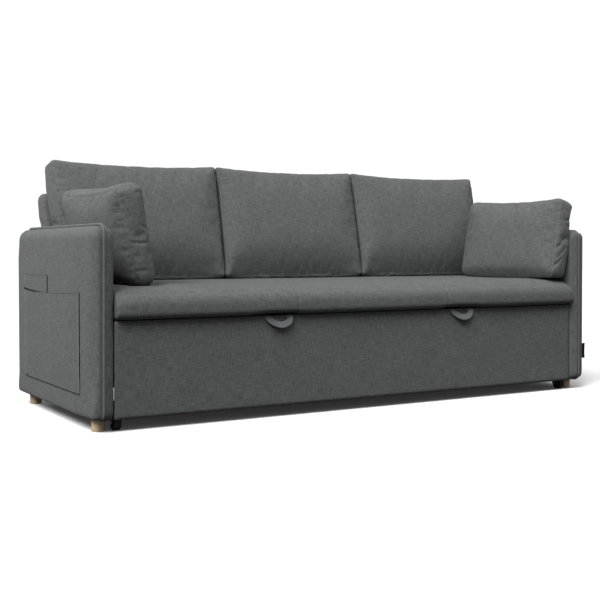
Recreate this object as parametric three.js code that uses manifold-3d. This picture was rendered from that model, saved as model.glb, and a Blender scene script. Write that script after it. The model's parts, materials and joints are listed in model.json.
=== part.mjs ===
// Three seat sofa with a low bed that rolls out from under the seat.
// Millimetres, +Z up, the front looks along -Y, left and right as seen from the front.
import * as THREE from "three";
import { mergeVertices } from "three/addons/utils/BufferGeometryUtils.js";
import Module from "manifold-3d";

const wasm = await Module();
wasm.setup();

// Fits shared by all pieces
const touchGap = 0.3; // between pieces that lie on each other
const sideGap = 4; // between an arm and the soft or sliding piece beside it
const overrun = 5; // how far a cut runs past the face it opens

// Arms: an upright slab, a piped seam on its outer face and a soft pad inside the seam
const innerWidth = 1977; // between the two arms
const armDepth = 830;
const armTop = 658;
const floorClearance = 38; // underside of the arms and of the front panel
const armThick = 36.5;
const armCorner = 30; // seen from the side
const armTopRound = 26; // inner top edge, seen from the front
const weltRadius = 4.5;
const padThick = 44.7;
const padEdge = 36; // rounding of the pad towards its outer face
const padSeam = 1; // from the piping to the pad

// Pockets on the left arm
const pocketDepth = 10; // how far the large pocket stands off the pad
const pocketPanel = 1.5; // cloth of the large pocket
const pocketWall = 2; // its sewn sides and bottom
const pocketFront = 111; // from the front of the arm
const pocketLength = 602;
const pocketBottom = 115;
const pocketTop = 439;
const smallPocketDepth = 6.2;
const smallPocketPanel = 1;
const smallPocketFront = 440;
const smallPocketTop = 488;
const smallPocketMargin = 6; // inside the large pocket's rear and bottom seams

// Blank cloth tab on the right arm
const tabReach = 10;
const tabThick = 1.5;
const tabHeight = 62;
const tabBottom = 124;
const tabFront = 46;

// Feet
const footRadius = 22;
const footChamfer = 4;
const footInset = 73; // from the arm's front and rear
const footSide = 7; // foot axis inside the arm's piped seam
const studRadius = 4;
const studGrip = 25; // length held in the foot, and in what stands on it
const studFit = 0.3; // radial clearance

// Backrest
const backLean = 15; // degrees
const backTop = 787;
const backOverhang = 23; // top rear edge behind the arms
const backThick = 75;
const backBottom = 318;
const backRound = 24;

// Seat deck
const railWidth = 25;
const railHeight = 46;
const railWall = 2.5;
const railPlate = 4;
const railPlateMargin = 14; // how far the end plate stands past the rail
const boltRadius = 7;
const boltHead = 5.5;
const slatWidth = 70;
const slatThick = 12;
const slatCount = 13;
const slatMargin = 12; // outermost slat from the arm
const strapWidth = 25;
const strapThick = 1.5;
const strapInset = 140; // from the ends of the slats
const beamDrop = 2; // centre beam below the slats' straps
const apronThick = 45;
const apronInset = 110.7; // rear of the apron before the rear of the arms
const apronGap = 2; // the bed's rear frame to the apron

// Seat cushion
const seatBottom = 353;
const seatTop = 460;
const seatProud = 1.5; // in front of the arms
const seatFrontDrop = 17;
const seatDropDepth = 150;
const seatEndDrop = 8;
const seatEndDropWidth = 60;
const seatFrontRound = 26;
const seatLowerRound = 10;
const seatEndRound = 14;
const seatSeamDepth = 3;
const seatSeamWidth = 16;
const seatSeamShares = [-1 / 3, 1 / 3]; // of the half width, the sewn lines on the front

// Back cushions
const backCushionCount = 3;
const backCushionGap = 6;
const backCushionHeight = 462;
const backCushionDepth = 160;
const backCushionPress = 12; // flattened against the backrest
const backCushionSink = 14; // flattened on the seat
const backCushionPull = 12; // how far the edges draw in between the corners

// Arm pillows
const pillowLength = 420;
const pillowHeight = 352;
const pillowDepth = 118;
const pillowSink = 10;
const pillowPull = 16;
const leftPillowToArm = 151; // foot of the pillow to the arm, halfway along
const leftPillowRear = 266; // before the rear of the arms
const leftPillowLean = 11; // degrees towards the arm
const leftPillowTurn = 5; // degrees, front end away from the arm
const rightPillowToArm = 122;
const rightPillowRear = 388;
const rightPillowLean = 11;
const rightPillowTurn = -9;

// Front panel and its pull loops
const panelRecess = 14; // behind the front of the arms
const panelThick = 20;
const panelGap = 3; // under the seat cushion
const panelRound = 4;
const loopPlace = 402; // centre of a loop from the middle of the sofa
const loopWidth = 122;
const loopDrop = 42;
const loopWebbing = 29;
const loopThick = 2.4;
const loopTilt = 15; // degrees, how far a loop hangs away from the panel
const loopRootDrop = 1.5; // below the top edge of the panel

// Rolling frame of the bed
const frameBar = 25;
const frameWall = 2.5;
const frameSide = 12.2; // to the tracks
const frontBarInset = 3.5; // from the ends of the panel
const behindPanel = 6; // from the panel to the fixed rails and tracks behind it
const deckBar = 20;
const deckSide = 12; // to the rolling frame, with room for the links
const deckLift = 5; // above the rolling frame
const deckInset = 22; // deck frame inside the rolling frame, front and rear
const linkLengthShare = 0.423; // shares of the depth of the bed's frame
const linkFrontShare = 0.094; // front pivot from the back of the panel
const linkSpacingShare = 0.376;
const linkWidth = 20;
const linkThick = 5;
const linkPinRadius = 5;
const linkPinFit = 0.3;
const linkPinHead = 8;
const linkPinHeadThick = 1.8;
const bedSlatWidth = 60;
const mattressSide = 29.5; // inside the ends of the panel
const mattressClear = 9.4; // under the seat rails
const mattressInset = 6; // behind the panel and before the rear of the frame
const mattressRound = 22;

// Front casters
const casterSet = 24; // wheel axis behind the back of the panel
const wheelRadius = 25;
const wheelWidth = 24;
const wheelHub = 9;
const wheelDish = 4;
const wheelRound = 4;
const axleRadius = 3;
const axleFit = 0.3;
const forkPlay = 1; // wheel to fork, each side
const forkWall = 2.5;
const forkHead = 7.2; // wheel to the plate above it
const forkNose = 9;
const forkPlateLength = 44;
const axleHead = 5;
const axleHeadThick = 2;

// Rear rollers and the tracks they run in
const rollerRadius = 19;
const rollerWidth = 8;
const rollerRound = 1.2;
const rollerPlay = 0.8; // roller to the web of its track
const rollerLift = 0.95; // roller to each flange of its track
const rollerBack = 20; // roller axis before the rear end of the frame
const trackWall = 2;
const trackLift = 14; // above the rolling frame
const trackDepth = 14;
const trackEntry = 3; // from a closed bed's roller to the cut-away end, where the roller is put in
const stubRadius = 4;
const stubShoulder = 7;
const stubFit = 0.3;
const bracketThick = 4;
const bracketLength = 34;
const bracketMargin = 12; // metal around the stub

// Numbers of facets
const arcSteps = 6;
const roundSides = 24;
const wheelSides = 28;
const smallSides = 12;
const weltSides = 8;

// Places worked out from the sizes above
const innerX = innerWidth / 2;
const weltX = innerX + armThick;
const padX = weltX + touchGap + padThick;
const softHalf = innerX - sideGap;
const lean = THREE.MathUtils.degToRad(backLean);
const backRearTop = armDepth + backOverhang;
const backRun = backThick / Math.cos(lean); // its thickness measured level
const slatTop = seatBottom - touchGap;
const slatBottom = slatTop - slatThick;
const railTop = slatBottom - touchGap;
const railBottom = railTop - railHeight;
const panelTop = seatBottom - panelGap;
const panelBack = panelRecess + panelThick;
const railFront = panelBack + behindPanel;
const bedFront = panelBack + touchGap;
const apronFront = armDepth - apronInset - apronThick;
const bedRear = apronFront - apronGap;
const bedDepth = bedRear - bedFront;
const linkLength = bedDepth * linkLengthShare;
const frontBarHalf = softHalf - frontBarInset;
const frameHalf = innerX - touchGap - trackDepth - frameSide;
const frameBottom = 2 * wheelRadius + forkHead + forkWall + touchGap;
const frameTop = frameBottom + frameBar;
const deckHalf = frameHalf - frameBar - deckSide;
const deckBottom = frameTop + deckLift;
const deckTop = deckBottom + deckBar;
const mattressHalf = softHalf - mattressSide;
const mattressTop = railBottom - mattressClear;
const trackBottom = frameTop + trackLift;
const casterY = bedFront + casterSet;
const rollerY = bedRear - rollerBack;
const rollerZ = trackBottom + trackWall + rollerLift + rollerRadius;
const trackHeight = 2 * (rollerZ - trackBottom);

const backRearAt = (z) => backRearTop - (backTop - z) * Math.tan(lean);
const backFrontAt = (z) => backRearAt(z) - backRun;

// Finishes
const finish = (color, roughness, metalness = 0) =>
  new THREE.MeshStandardMaterial({ color, roughness, metalness });
const cloth = () => finish(0x55575a, 0.95);
const piping = () => finish(0x4d4f52, 0.95);
const oak = () => finish(0xd9b98a, 0.5);
const slatWood = () => finish(0xd8c39c, 0.6);
const greySteel = () => finish(0x4a4c50, 0.45, 0.8);
const brightSteel = () => finish(0xc4c6c8, 0.35, 0.9);
const blackPlastic = () => finish(0x161616, 0.5);
const blackRubber = () => finish(0x101010, 0.8);
const webbing = () => finish(0x65676a, 0.85);
const ticking = () => finish(0x8d9094, 0.9);
const blackCloth = () => finish(0x131313, 0.9);

// Basic solids
function block(x0, x1, y0, y1, z0, z1) {
  const box = new THREE.BoxGeometry(x1 - x0, y1 - y0, z1 - z0);
  return box.translate((x0 + x1) / 2, (y0 + y1) / 2, (z0 + z1) / 2);
}

function rodX(radius, x0, x1, y, z, sides = smallSides) {
  const rod = new THREE.CylinderGeometry(radius, radius, x1 - x0, sides);
  return rod.rotateZ(Math.PI / 2).translate((x0 + x1) / 2, y, z);
}

function rodZ(radius, z0, z1, x = 0, y = 0, sides = smallSides) {
  const rod = new THREE.CylinderGeometry(radius, radius, z1 - z0, sides);
  return rod.rotateX(Math.PI / 2).translate(x, y, (z0 + z1) / 2);
}

// An outline in (Y, Z) carried along X
function alongX(shape, x0, x1) {
  const bar = new THREE.ExtrudeGeometry(shape, {
    depth: x1 - x0,
    bevelEnabled: false,
    curveSegments: arcSteps,
  });
  const turn = new THREE.Matrix4().makeBasis(
    new THREE.Vector3(0, 1, 0),
    new THREE.Vector3(0, 0, 1),
    new THREE.Vector3(1, 0, 0),
  );
  return bar.applyMatrix4(turn).translate(x0, 0, 0);
}

// An outline in (X, Z) carried along Y, with an optional rounding of both its faces
function alongY(shape, y0, y1, round = 0) {
  const bar = new THREE.ExtrudeGeometry(shape, {
    depth: y1 - y0 - 2 * round,
    bevelEnabled: round > 0,
    bevelThickness: round,
    bevelSize: round,
    bevelOffset: -round,
    bevelSegments: 2,
    curveSegments: arcSteps,
  });
  const turn = new THREE.Matrix4().makeBasis(
    new THREE.Vector3(1, 0, 0),
    new THREE.Vector3(0, 0, 1),
    new THREE.Vector3(0, -1, 0),
  );
  return bar.applyMatrix4(turn).translate(0, y1 - round, 0);
}

function rectangle(a0, a1, b0, b1) {
  return new THREE.Shape([
    new THREE.Vector2(a0, b0),
    new THREE.Vector2(a1, b0),
    new THREE.Vector2(a1, b1),
    new THREE.Vector2(a0, b1),
  ]);
}

// Points around a rectangle with round corners, each with its outward direction
function roundedLoop(a0, a1, b0, b1, radius, steps = arcSteps) {
  const corners = [
    [a1 - radius, b1 - radius, 0],
    [a0 + radius, b1 - radius, 1],
    [a0 + radius, b0 + radius, 2],
    [a1 - radius, b0 + radius, 3],
  ];
  return corners.flatMap(([a, b, quarter]) =>
    Array.from({ length: steps + 1 }, (_, i) => {
      const angle = ((quarter + i / steps) * Math.PI) / 2;
      const out = [Math.cos(angle), Math.sin(angle)];
      return { a: a + radius * out[0], b: b + radius * out[1], out };
    }),
  );
}

function roundedShape(a0, a1, b0, b1, radius) {
  return new THREE.Shape(
    roundedLoop(a0, a1, b0, b1, radius).map((p) => new THREE.Vector2(p.a, p.b)),
  );
}

// Joining and cutting
function solid(geometry) {
  const bare = geometry.clone();
  bare.deleteAttribute("normal");
  bare.deleteAttribute("uv");
  const merged = mergeVertices(bare);
  const mesh = new wasm.Mesh({
    numProp: 3,
    vertProperties: Float32Array.from(merged.attributes.position.array),
    triVerts: Uint32Array.from(merged.index.array),
  });
  return new wasm.Manifold(mesh);
}

function geometryOf(body) {
  const mesh = body.getMesh();
  const geometry = new THREE.BufferGeometry();
  geometry.setAttribute("position", new THREE.BufferAttribute(mesh.vertProperties, 3));
  geometry.setIndex(new THREE.BufferAttribute(mesh.triVerts, 1));
  return geometry;
}

const joined = (...parts) => parts.map(solid).reduce((sum, part) => sum.add(part));
const cut = (body, ...tools) => tools.map(solid).reduce((rest, tool) => rest.subtract(tool), body);

// The same piece for the other side of the sofa
function mirrored(geometry) {
  const copy = geometry.clone();
  copy.deleteAttribute("normal");
  copy.deleteAttribute("uv");
  const twin = copy.index ? copy : mergeVertices(copy);
  const place = twin.attributes.position;
  for (let i = 0; i < place.count; i++) place.setX(i, -place.getX(i));
  const order = twin.index;
  for (let i = 0; i < order.count; i += 3) {
    const second = order.getX(i + 1);
    order.setX(i + 1, order.getX(i + 2));
    order.setX(i + 2, second);
  }
  return twin;
}

// A closed skin through rings of points, with a flat or pointed cap at both ends
function loft(rings, closed = false) {
  const count = rings[0].length;
  const points = rings.flat();
  const index = [];
  const at = (ring, i) => (ring % rings.length) * count + (i % count);
  const spans = closed ? rings.length : rings.length - 1;
  for (let ring = 0; ring < spans; ring++) {
    for (let i = 0; i < count; i++) {
      index.push(at(ring, i), at(ring, i + 1), at(ring + 1, i + 1));
      index.push(at(ring, i), at(ring + 1, i + 1), at(ring + 1, i));
    }
  }
  if (!closed) {
    for (const ring of [0, rings.length - 1]) {
      const middle = new THREE.Vector3();
      rings[ring].forEach((p) => middle.add(p));
      points.push(middle.divideScalar(count));
      for (let i = 0; i < count; i++) {
        const side = ring === 0 ? [i + 1, i] : [i, i + 1];
        index.push(at(ring, side[0]), at(ring, side[1]), points.length - 1);
      }
    }
  }
  const geometry = new THREE.BufferGeometry().setFromPoints(points);
  geometry.setIndex(index);
  return facingOut(geometry);
}

function facingOut(geometry) {
  const place = geometry.attributes.position;
  const order = geometry.index;
  const corner = (i) => new THREE.Vector3().fromBufferAttribute(place, order.getX(i));
  let volume = 0;
  for (let i = 0; i < order.count; i += 3) {
    volume += corner(i).dot(corner(i + 1).cross(corner(i + 2)));
  }
  if (volume < 0) {
    for (let i = 0; i < order.count; i += 3) {
      const second = order.getX(i + 1);
      order.setX(i + 1, order.getX(i + 2));
      order.setX(i + 2, second);
    }
  }
  return geometry;
}

// A stuffed cushion, upright: length along X, height along Z, crowned front and back
function cushion({ length, height, depth, pull, edgeShare, power, rings, around }) {
  const signed = (value, exponent) => Math.sign(value) * Math.abs(value) ** exponent;
  return loft(
    Array.from({ length: rings + 1 }, (_, i) => {
      const share = -Math.cos((Math.PI * i) / rings);
      const full = Math.sqrt(1 - Math.abs(share) ** power);
      const half = (depth / 2) * (edgeShare + (1 - edgeShare) * full);
      const rise = height / 2 - pull * (1 - share * share);
      return Array.from({ length: around }, (_, k) => {
        const angle = ((k + 1 / 2) * 2 * Math.PI) / around;
        const up = signed(Math.sin(angle), 2 / power);
        const reach = length / 2 - pull * (1 - up * up);
        return new THREE.Vector3(
          share * reach,
          half * signed(Math.cos(angle), 2 / power),
          rise * up,
        );
      });
    }),
  );
}

const sofa = new THREE.Group();
const easeIn = (share) => {
  const t = THREE.MathUtils.clamp(share, 0, 1);
  return t * t * (3 - 2 * t);
};

function add(name, shape, material, parent = sofa) {
  const geometry = shape.isBufferGeometry ? shape : geometryOf(shape);
  const mesh = new THREE.Mesh(geometry, material);
  mesh.name = name;
  parent.add(mesh);
  return mesh;
}

function addPair(name, shape, material, parent = sofa) {
  const right = shape.isBufferGeometry ? shape : geometryOf(shape);
  add(name + "_left", mirrored(right), material(), parent);
  add(name + "_right", right, material(), parent);
}

// Arms
const footX = weltX - footSide;
const footPlaces = [footInset, armDepth - footInset];

function armFrame() {
  const side = roundedShape(0, armDepth, floorClearance, armTop, armCorner);
  const front = new THREE.Shape();
  front.moveTo(innerX, floorClearance - overrun);
  front.lineTo(weltX, floorClearance - overrun);
  front.lineTo(weltX, armTop);
  front.lineTo(innerX + armTopRound, armTop);
  front.absarc(
    innerX + armTopRound,
    armTop - armTopRound,
    armTopRound,
    Math.PI / 2,
    Math.PI,
    false,
  );
  const slab = solid(alongX(side, innerX, weltX));
  const body = slab.intersect(solid(alongY(front, -overrun, armDepth + overrun)));
  const bores = footPlaces.map((y) =>
    rodZ(
      studRadius + studFit,
      floorClearance - overrun,
      floorClearance + studGrip + touchGap,
      footX,
      y,
    ),
  );
  return cut(body, ...bores);
}

function armWelt() {
  const path = roundedLoop(
    weltRadius,
    armDepth - weltRadius,
    floorClearance + weltRadius,
    armTop - weltRadius,
    armCorner - weltRadius,
  );
  const x = weltX + touchGap + weltRadius;
  return loft(
    path.map((p) =>
      Array.from({ length: weltSides }, (_, k) => {
        const angle = (k * 2 * Math.PI) / weltSides;
        const out = weltRadius * Math.cos(angle);
        return new THREE.Vector3(
          x + weltRadius * Math.sin(angle),
          p.a + out * p.out[0],
          p.b + out * p.out[1],
        );
      }),
    ),
    true,
  );
}

function armPad() {
  const seam = 2 * weltRadius + padSeam;
  const corner = armCorner - seam;
  const levels = [{ x: weltX + touchGap, inset: seam, corner }];
  for (let i = 0; i <= arcSteps; i++) {
    const angle = (i / arcSteps) * (Math.PI / 2);
    levels.push({
      x: padX - padEdge + padEdge * Math.sin(angle),
      inset: seam + padEdge * (1 - Math.cos(angle)),
      corner: corner + (i / arcSteps) * padEdge * (1 / 2),
    });
  }
  return loft(
    levels.map(({ x, inset, corner: radius }) =>
      roundedLoop(inset, armDepth - inset, floorClearance + inset, armTop - inset, radius).map(
        (p) => new THREE.Vector3(x, p.a, p.b),
      ),
    ),
  );
}

// A cloth pocket sewn on along its sides and bottom, open at the top
function pocket({ front, rear, bottom, top, depth, panel }) {
  const x0 = padX + touchGap;
  const x1 = x0 + depth;
  const outside = solid(block(x0, x1, front, rear, bottom, top));
  const inside = block(
    x0 - overrun,
    x1 - panel,
    front + pocketWall,
    rear - pocketWall,
    bottom + pocketWall,
    top + overrun,
  );
  return geometryOf(cut(outside, inside));
}

addPair("arm_frame", armFrame(), cloth);
addPair("arm_welt", armWelt(), piping);
addPair("arm_pad", armPad(), cloth);

const pocketRear = pocketFront + pocketLength;
const pocketLarge = pocket({
  front: pocketFront,
  rear: pocketRear,
  bottom: pocketBottom,
  top: pocketTop,
  depth: pocketDepth,
  panel: pocketPanel,
});
const pocketSmall = pocket({
  front: smallPocketFront,
  rear: pocketRear - smallPocketMargin,
  bottom: pocketBottom + smallPocketMargin,
  top: smallPocketTop,
  depth: smallPocketDepth,
  panel: smallPocketPanel,
});
add("pocket_large", mirrored(pocketLarge), cloth());
add("pocket_small", mirrored(pocketSmall), cloth());

const tabX = padX + touchGap;
const tab = block(
  tabX,
  tabX + tabReach,
  tabFront,
  tabFront + tabThick,
  tabBottom,
  tabBottom + tabHeight,
);
add("side_tab", tab, blackCloth());

// Feet, each on a threaded stud
function foot() {
  const top = floorClearance - touchGap;
  const bore = studRadius + studFit;
  const profile = [
    [0, top - studGrip],
    [bore, top - studGrip],
    [bore, top],
    [footRadius, top],
    [footRadius, footChamfer],
    [footRadius - footChamfer, 0],
    [0, 0],
  ];
  const outline = profile.map(([r, z]) => new THREE.Vector2(r, z)).reverse();
  return facingOut(mergeLathe(new THREE.LatheGeometry(outline, roundSides)));
}

// A revolved profile stands along Z with its seam closed
function mergeLathe(lathe) {
  lathe.deleteAttribute("normal");
  lathe.deleteAttribute("uv");
  return mergeVertices(lathe.rotateX(Math.PI / 2));
}

function stud() {
  return rodZ(studRadius, floorClearance - studGrip, floorClearance + studGrip);
}

const apronMiddle = apronFront + apronThick / 2;
const feet = [
  ["front_left", -footX, footPlaces[0]],
  ["front_right", footX, footPlaces[0]],
  ["rear_left", -footX, footPlaces[1]],
  ["rear_right", footX, footPlaces[1]],
  ["rear_middle", 0, apronMiddle],
];
for (const [place, x, y] of feet) {
  const stand = new THREE.Group();
  stand.position.set(x, y, 0);
  sofa.add(stand);
  add("foot_" + place, foot(), oak(), stand);
  add("foot_stud_" + place, stud(), brightSteel(), stand);
}

// Seat deck: two channel rails between the arms, a centre beam and slats on straps
function railSection(y0, y1, openToRear) {
  const outside = solid(rectangleBar(y0, y1, railBottom, railTop));
  const mouth = openToRear
    ? [y0 + railWall, y1 + overrun]
    : [y0 - overrun, y1 - railWall];
  return cut(outside, rectangleBar(...mouth, railBottom + railWall, railTop - railWall));
}

function rectangleBar(y0, y1, z0, z1) {
  return alongX(rectangle(y0, y1, z0, z1), touchGap - innerX, innerX - touchGap);
}

function seatRail(y0, openToRear) {
  const y1 = y0 + railWidth;
  let rail = railSection(y0, y1, openToRear);
  const middleZ = (railBottom + railTop) / 2;
  for (const side of [-1, 1]) {
    const outer = side * (innerX - touchGap);
    const inner = side * (innerX - touchGap - railPlate);
    const [x0, x1] = side < 0 ? [outer, inner] : [inner, outer];
    const plate = block(
      x0,
      x1,
      y0,
      y1,
      railBottom - railPlateMargin,
      railTop,
    );
    rail = rail.add(solid(plate));
    const head = inner - side * boltHead;
    const ends = side < 0 ? [inner, head] : [head, inner];
    const bolt = rodX(boltRadius, ends[0], ends[1], (y0 + y1) / 2, middleZ, arcSteps);
    rail = rail.add(solid(bolt));
  }
  return rail;
}

const slatFront = railFront;
const slatRear = backFrontAt(backBottom) - touchGap;
const rearRailFront = slatRear - railWidth;
add("seat_rail_front", seatRail(railFront, true), greySteel());
add("seat_rail_rear", seatRail(rearRailFront, false), greySteel());

function centreBeam() {
  const y0 = railFront + railWidth + touchGap;
  const y1 = rearRailFront - touchGap;
  const half = railWidth / 2;
  const top = railTop - beamDrop;
  const outside = solid(block(-half, half, y0, y1, railBottom, top));
  const inside = block(
    railWall - half,
    half - railWall,
    y0 - overrun,
    y1 + overrun,
    railBottom - overrun,
    top - railWall,
  );
  return cut(outside, inside);
}
add("seat_beam", centreBeam(), greySteel());

// Slats side by side, held at their spacing by two straps on their underside
function slatMat({ half, width, y0, y1, z0, z1 }) {
  const pitch = (2 * half - width) / (slatCount - 1);
  const slats = Array.from({ length: slatCount }, (_, i) => {
    const x = -half + i * pitch;
    return block(x, x + width, y0, y1, z0, z1);
  });
  const straps = [y0 + strapInset, y1 - strapInset - strapWidth].map((y) =>
    block(-half, half, y, y + strapWidth, z0 - strapThick, z0 + strapThick),
  );
  return joined(...slats, ...straps);
}

const seatSlats = slatMat({
  half: innerX - slatMargin,
  width: slatWidth,
  y0: slatFront,
  y1: slatRear,
  z0: slatBottom,
  z1: slatTop,
});
add("seat_slats", seatSlats, slatWood());

// Apron that closes the rear and stands on the middle foot
function apron() {
  const top = backBottom - touchGap;
  const body = block(
    touchGap - innerX,
    innerX - touchGap,
    apronFront,
    apronFront + apronThick,
    floorClearance,
    top,
  );
  const bore = rodZ(
    studRadius + studFit,
    floorClearance - overrun,
    floorClearance + studGrip + touchGap,
    0,
    apronMiddle,
  );
  return cut(solid(body), bore);
}
add("rear_apron", apron(), cloth());

// Backrest: a reclined padded board with a round top
function backrest() {
  const along = new THREE.Vector2(Math.sin(lean), Math.cos(lean));
  const across = new THREE.Vector2(Math.cos(lean), -Math.sin(lean));
  const rearTop = new THREE.Vector2(backRearTop, backTop);
  const frontTop = rearTop.clone().addScaledVector(across, -backThick);
  const shape = new THREE.Shape();
  shape.moveTo(backFrontAt(backBottom), backBottom);
  shape.lineTo(backRearAt(backBottom), backBottom);
  for (const [corner, first] of [[rearTop, 0], [frontTop, 1]]) {
    const inward = first === 0 ? -1 : 1;
    const centre = corner
      .clone()
      .addScaledVector(across, inward * backRound)
      .addScaledVector(along, -backRound);
    for (let i = 0; i <= arcSteps; i++) {
      const angle = ((first + i / arcSteps) * Math.PI) / 2;
      const point = centre
        .clone()
        .addScaledVector(across, backRound * Math.cos(angle))
        .addScaledVector(along, backRound * Math.sin(angle));
      shape.lineTo(point.x, point.y);
    }
  }
  return alongX(shape, -softHalf, softHalf);
}
add("backrest", backrest(), cloth());

// Seat cushion: one long cushion with two sewn lines down its front
function arc(centreY, centreZ, radius, from, to) {
  return Array.from({ length: arcSteps + 1 }, (_, i) => {
    const angle = THREE.MathUtils.degToRad(from + ((to - from) * i) / arcSteps);
    return [centreY + radius * Math.cos(angle), centreZ + radius * Math.sin(angle)];
  });
}

function seatCushion() {
  const front = -seatProud;
  const rear = backFrontAt(seatBottom) - touchGap;
  const topShares = [0.12, 0.3, 0.65, 1]; // of the depth over which the top rises
  const seamX = seatSeamShares.map((share) => share * softHalf);
  const endSteps = Array.from({ length: arcSteps }, (_, i) => {
    const angle = ((i + 1) / arcSteps) * (Math.PI / 2);
    return softHalf - seatEndRound * (1 - Math.sin(angle));
  });
  const inner = softHalf - seatEndDropWidth;
  const stations = [
    ...endSteps.flatMap((x) => [-x, x]),
    ...[1 / 2, 1].flatMap((share) => [-1, 1].map((side) => side * (inner + share * seatEndRound))),
    ...[-1, 1].map((side) => (side * inner * 2) / 3),
    0,
    ...seamX.flatMap((x) => [-1, -1 / 2, 0, 1 / 2, 1].map((share) => x + share * seatSeamWidth)),
  ].sort((a, b) => a - b);

  const ringAt = (x) => {
    const toEnd = softHalf - Math.abs(x);
    const endLeft = Math.max(0, 1 - toEnd / seatEndRound);
    const shrink = seatEndRound * (1 - Math.sqrt(1 - endLeft * endLeft));
    const endDrop = seatEndDrop * (1 - easeIn(toEnd / seatEndDropWidth));
    const seam = Math.max(0, ...seamX.map((s) => 1 - Math.abs(x - s) / seatSeamWidth));
    const face = front + shrink + seatSeamDepth * easeIn(seam);
    const bottom = seatBottom + shrink;
    const edgeTop = seatTop - seatFrontDrop - endDrop - shrink;
    const back = rear - shrink;
    const backTopZ = seatTop - endDrop - shrink;
    const upper = seatFrontRound - shrink;
    const lower = Math.max(seatLowerRound - shrink, seatLowerRound / arcSteps);
    const rise = (y) => seatFrontDrop * easeIn((y - front) / seatDropDepth);
    const points = [
      ...arc(face + lower, bottom + lower, lower, 270, 180),
      ...arc(face + upper, edgeTop - upper, upper, 180, 90),
      ...topShares.map((share) => {
        const y = face + upper + share * seatDropDepth;
        return [y, edgeTop + rise(y)];
      }),
      ...arc(back - lower, backTopZ - lower, lower, 90, 0),
      [back, bottom],
    ];
    return points.map(([y, z]) => new THREE.Vector3(x, y, Math.min(z, backTopZ)));
  };
  return loft(stations.map(ringAt));
}
add("seat_cushion", seatCushion(), cloth());

// Back cushions: they stand on the seat and lean on the backrest, flat where they touch
const cushionUp = (backCushionHeight / 2 - backCushionSink) / Math.cos(lean);
const cushionBack = backCushionDepth / 2 - backCushionPress;
function backCushion(length) {
  const pillow = cushion({
    length,
    height: backCushionHeight,
    depth: backCushionDepth,
    pull: backCushionPull,
    edgeShare: 0.72,
    power: 3.4,
    rings: 14,
    around: 24,
  });
  const reach = backCushionHeight + backCushionDepth;
  const behind = block(-reach, reach, cushionBack, cushionBack + reach, -reach, reach);
  const below = block(-reach, reach, -reach, reach, -reach, 0);
  below.rotateX(lean).translate(0, 0, -cushionUp);
  return cut(solid(pillow), behind, below);
}

// The lean frame: its Y is square to the backrest's front, its Z runs up along it
const cushionLength = (2 * softHalf - (backCushionCount - 1) * backCushionGap) / backCushionCount;
const leanFrame = new THREE.Group();
leanFrame.position.set(0, backFrontAt(seatTop + touchGap), seatTop + touchGap);
leanFrame.rotation.x = -lean;
sofa.add(leanFrame);
const backCushionNames = ["left", "middle", "right"];
for (let i = 0; i < backCushionCount; i++) {
  const name = "back_cushion_" + (backCushionNames[i] ?? i + 1);
  const mesh = add(name, backCushion(cushionLength), cloth(), leanFrame);
  const step = cushionLength + backCushionGap;
  mesh.position.x = (i - (backCushionCount - 1) / 2) * step;
  mesh.position.y = -cushionBack - touchGap;
  mesh.position.z = cushionUp + mesh.position.y * Math.tan(lean);
}

// Arm pillows: each stands on the seat and leans on its arm, flat where it touches
const pillowPlaces = [
  {
    name: "arm_pillow_left",
    side: -1,
    toArm: leftPillowToArm,
    rear: leftPillowRear,
    tilt: leftPillowLean,
    turn: leftPillowTurn,
  },
  {
    name: "arm_pillow_right",
    side: 1,
    toArm: rightPillowToArm,
    rear: rightPillowRear,
    tilt: rightPillowLean,
    turn: rightPillowTurn,
  },
];
for (const { name, side, toArm, rear, tilt, turn } of pillowPlaces) {
  const shape = cushion({
    length: pillowLength,
    height: pillowHeight,
    depth: pillowDepth,
    pull: pillowPull,
    edgeShare: 0.4,
    power: 2.7,
    rings: 14,
    around: 22,
  });
  shape.translate(0, 0, pillowHeight / 2 - pillowSink);
  shape.rotateZ(Math.PI / 2);
  shape.rotateY(THREE.MathUtils.degToRad(side * tilt));
  shape.rotateZ(THREE.MathUtils.degToRad(side * -turn));
  const along = armDepth - rear - pillowLength / 2;
  shape.translate(side * (innerX - toArm), along, seatTop + touchGap);
  const under = block(-innerX, innerX, 0, armDepth, seatBottom, seatTop + touchGap);
  const wallInside = side * (innerX - touchGap);
  const wallOutside = side * padX;
  const arm = block(
    Math.min(wallInside, wallOutside),
    Math.max(wallInside, wallOutside),
    0,
    armDepth,
    seatBottom,
    armTop + touchGap,
  );
  add(name, cut(solid(shape), under, arm), cloth());
}

// Tracks on the arms for the bed's rear rollers, with a stop at the front end. The rear end
// is cut down to its lower flange, so that the rollers can be put in.
function track() {
  const x1 = innerX - touchGap;
  const x0 = x1 - trackDepth;
  const y1 = rollerY + rollerRadius + touchGap;
  const outside = solid(
    block(x0, x1, railFront, y1, trackBottom, trackBottom + trackHeight),
  );
  const channel = block(
    x0 - overrun,
    x1 - trackWall,
    railFront + trackWall,
    y1 + overrun,
    trackBottom + trackWall,
    trackBottom + trackHeight - trackWall,
  );
  const entry = block(
    x0 - overrun,
    x1 + overrun,
    rollerY - rollerRadius - trackEntry,
    y1 + overrun,
    trackBottom + trackWall,
    trackBottom + trackHeight + overrun,
  );
  return cut(outside, channel, entry);
}
addPair("guide_track", track(), brightSteel);

// The bed: everything in this group rolls out together
const bed = new THREE.Group();
sofa.add(bed);

const panelShape = rectangle(-softHalf, softHalf, floorClearance, panelTop);
add("front_panel", alongY(panelShape, panelRecess, panelBack, panelRound), cloth(), bed);

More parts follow.
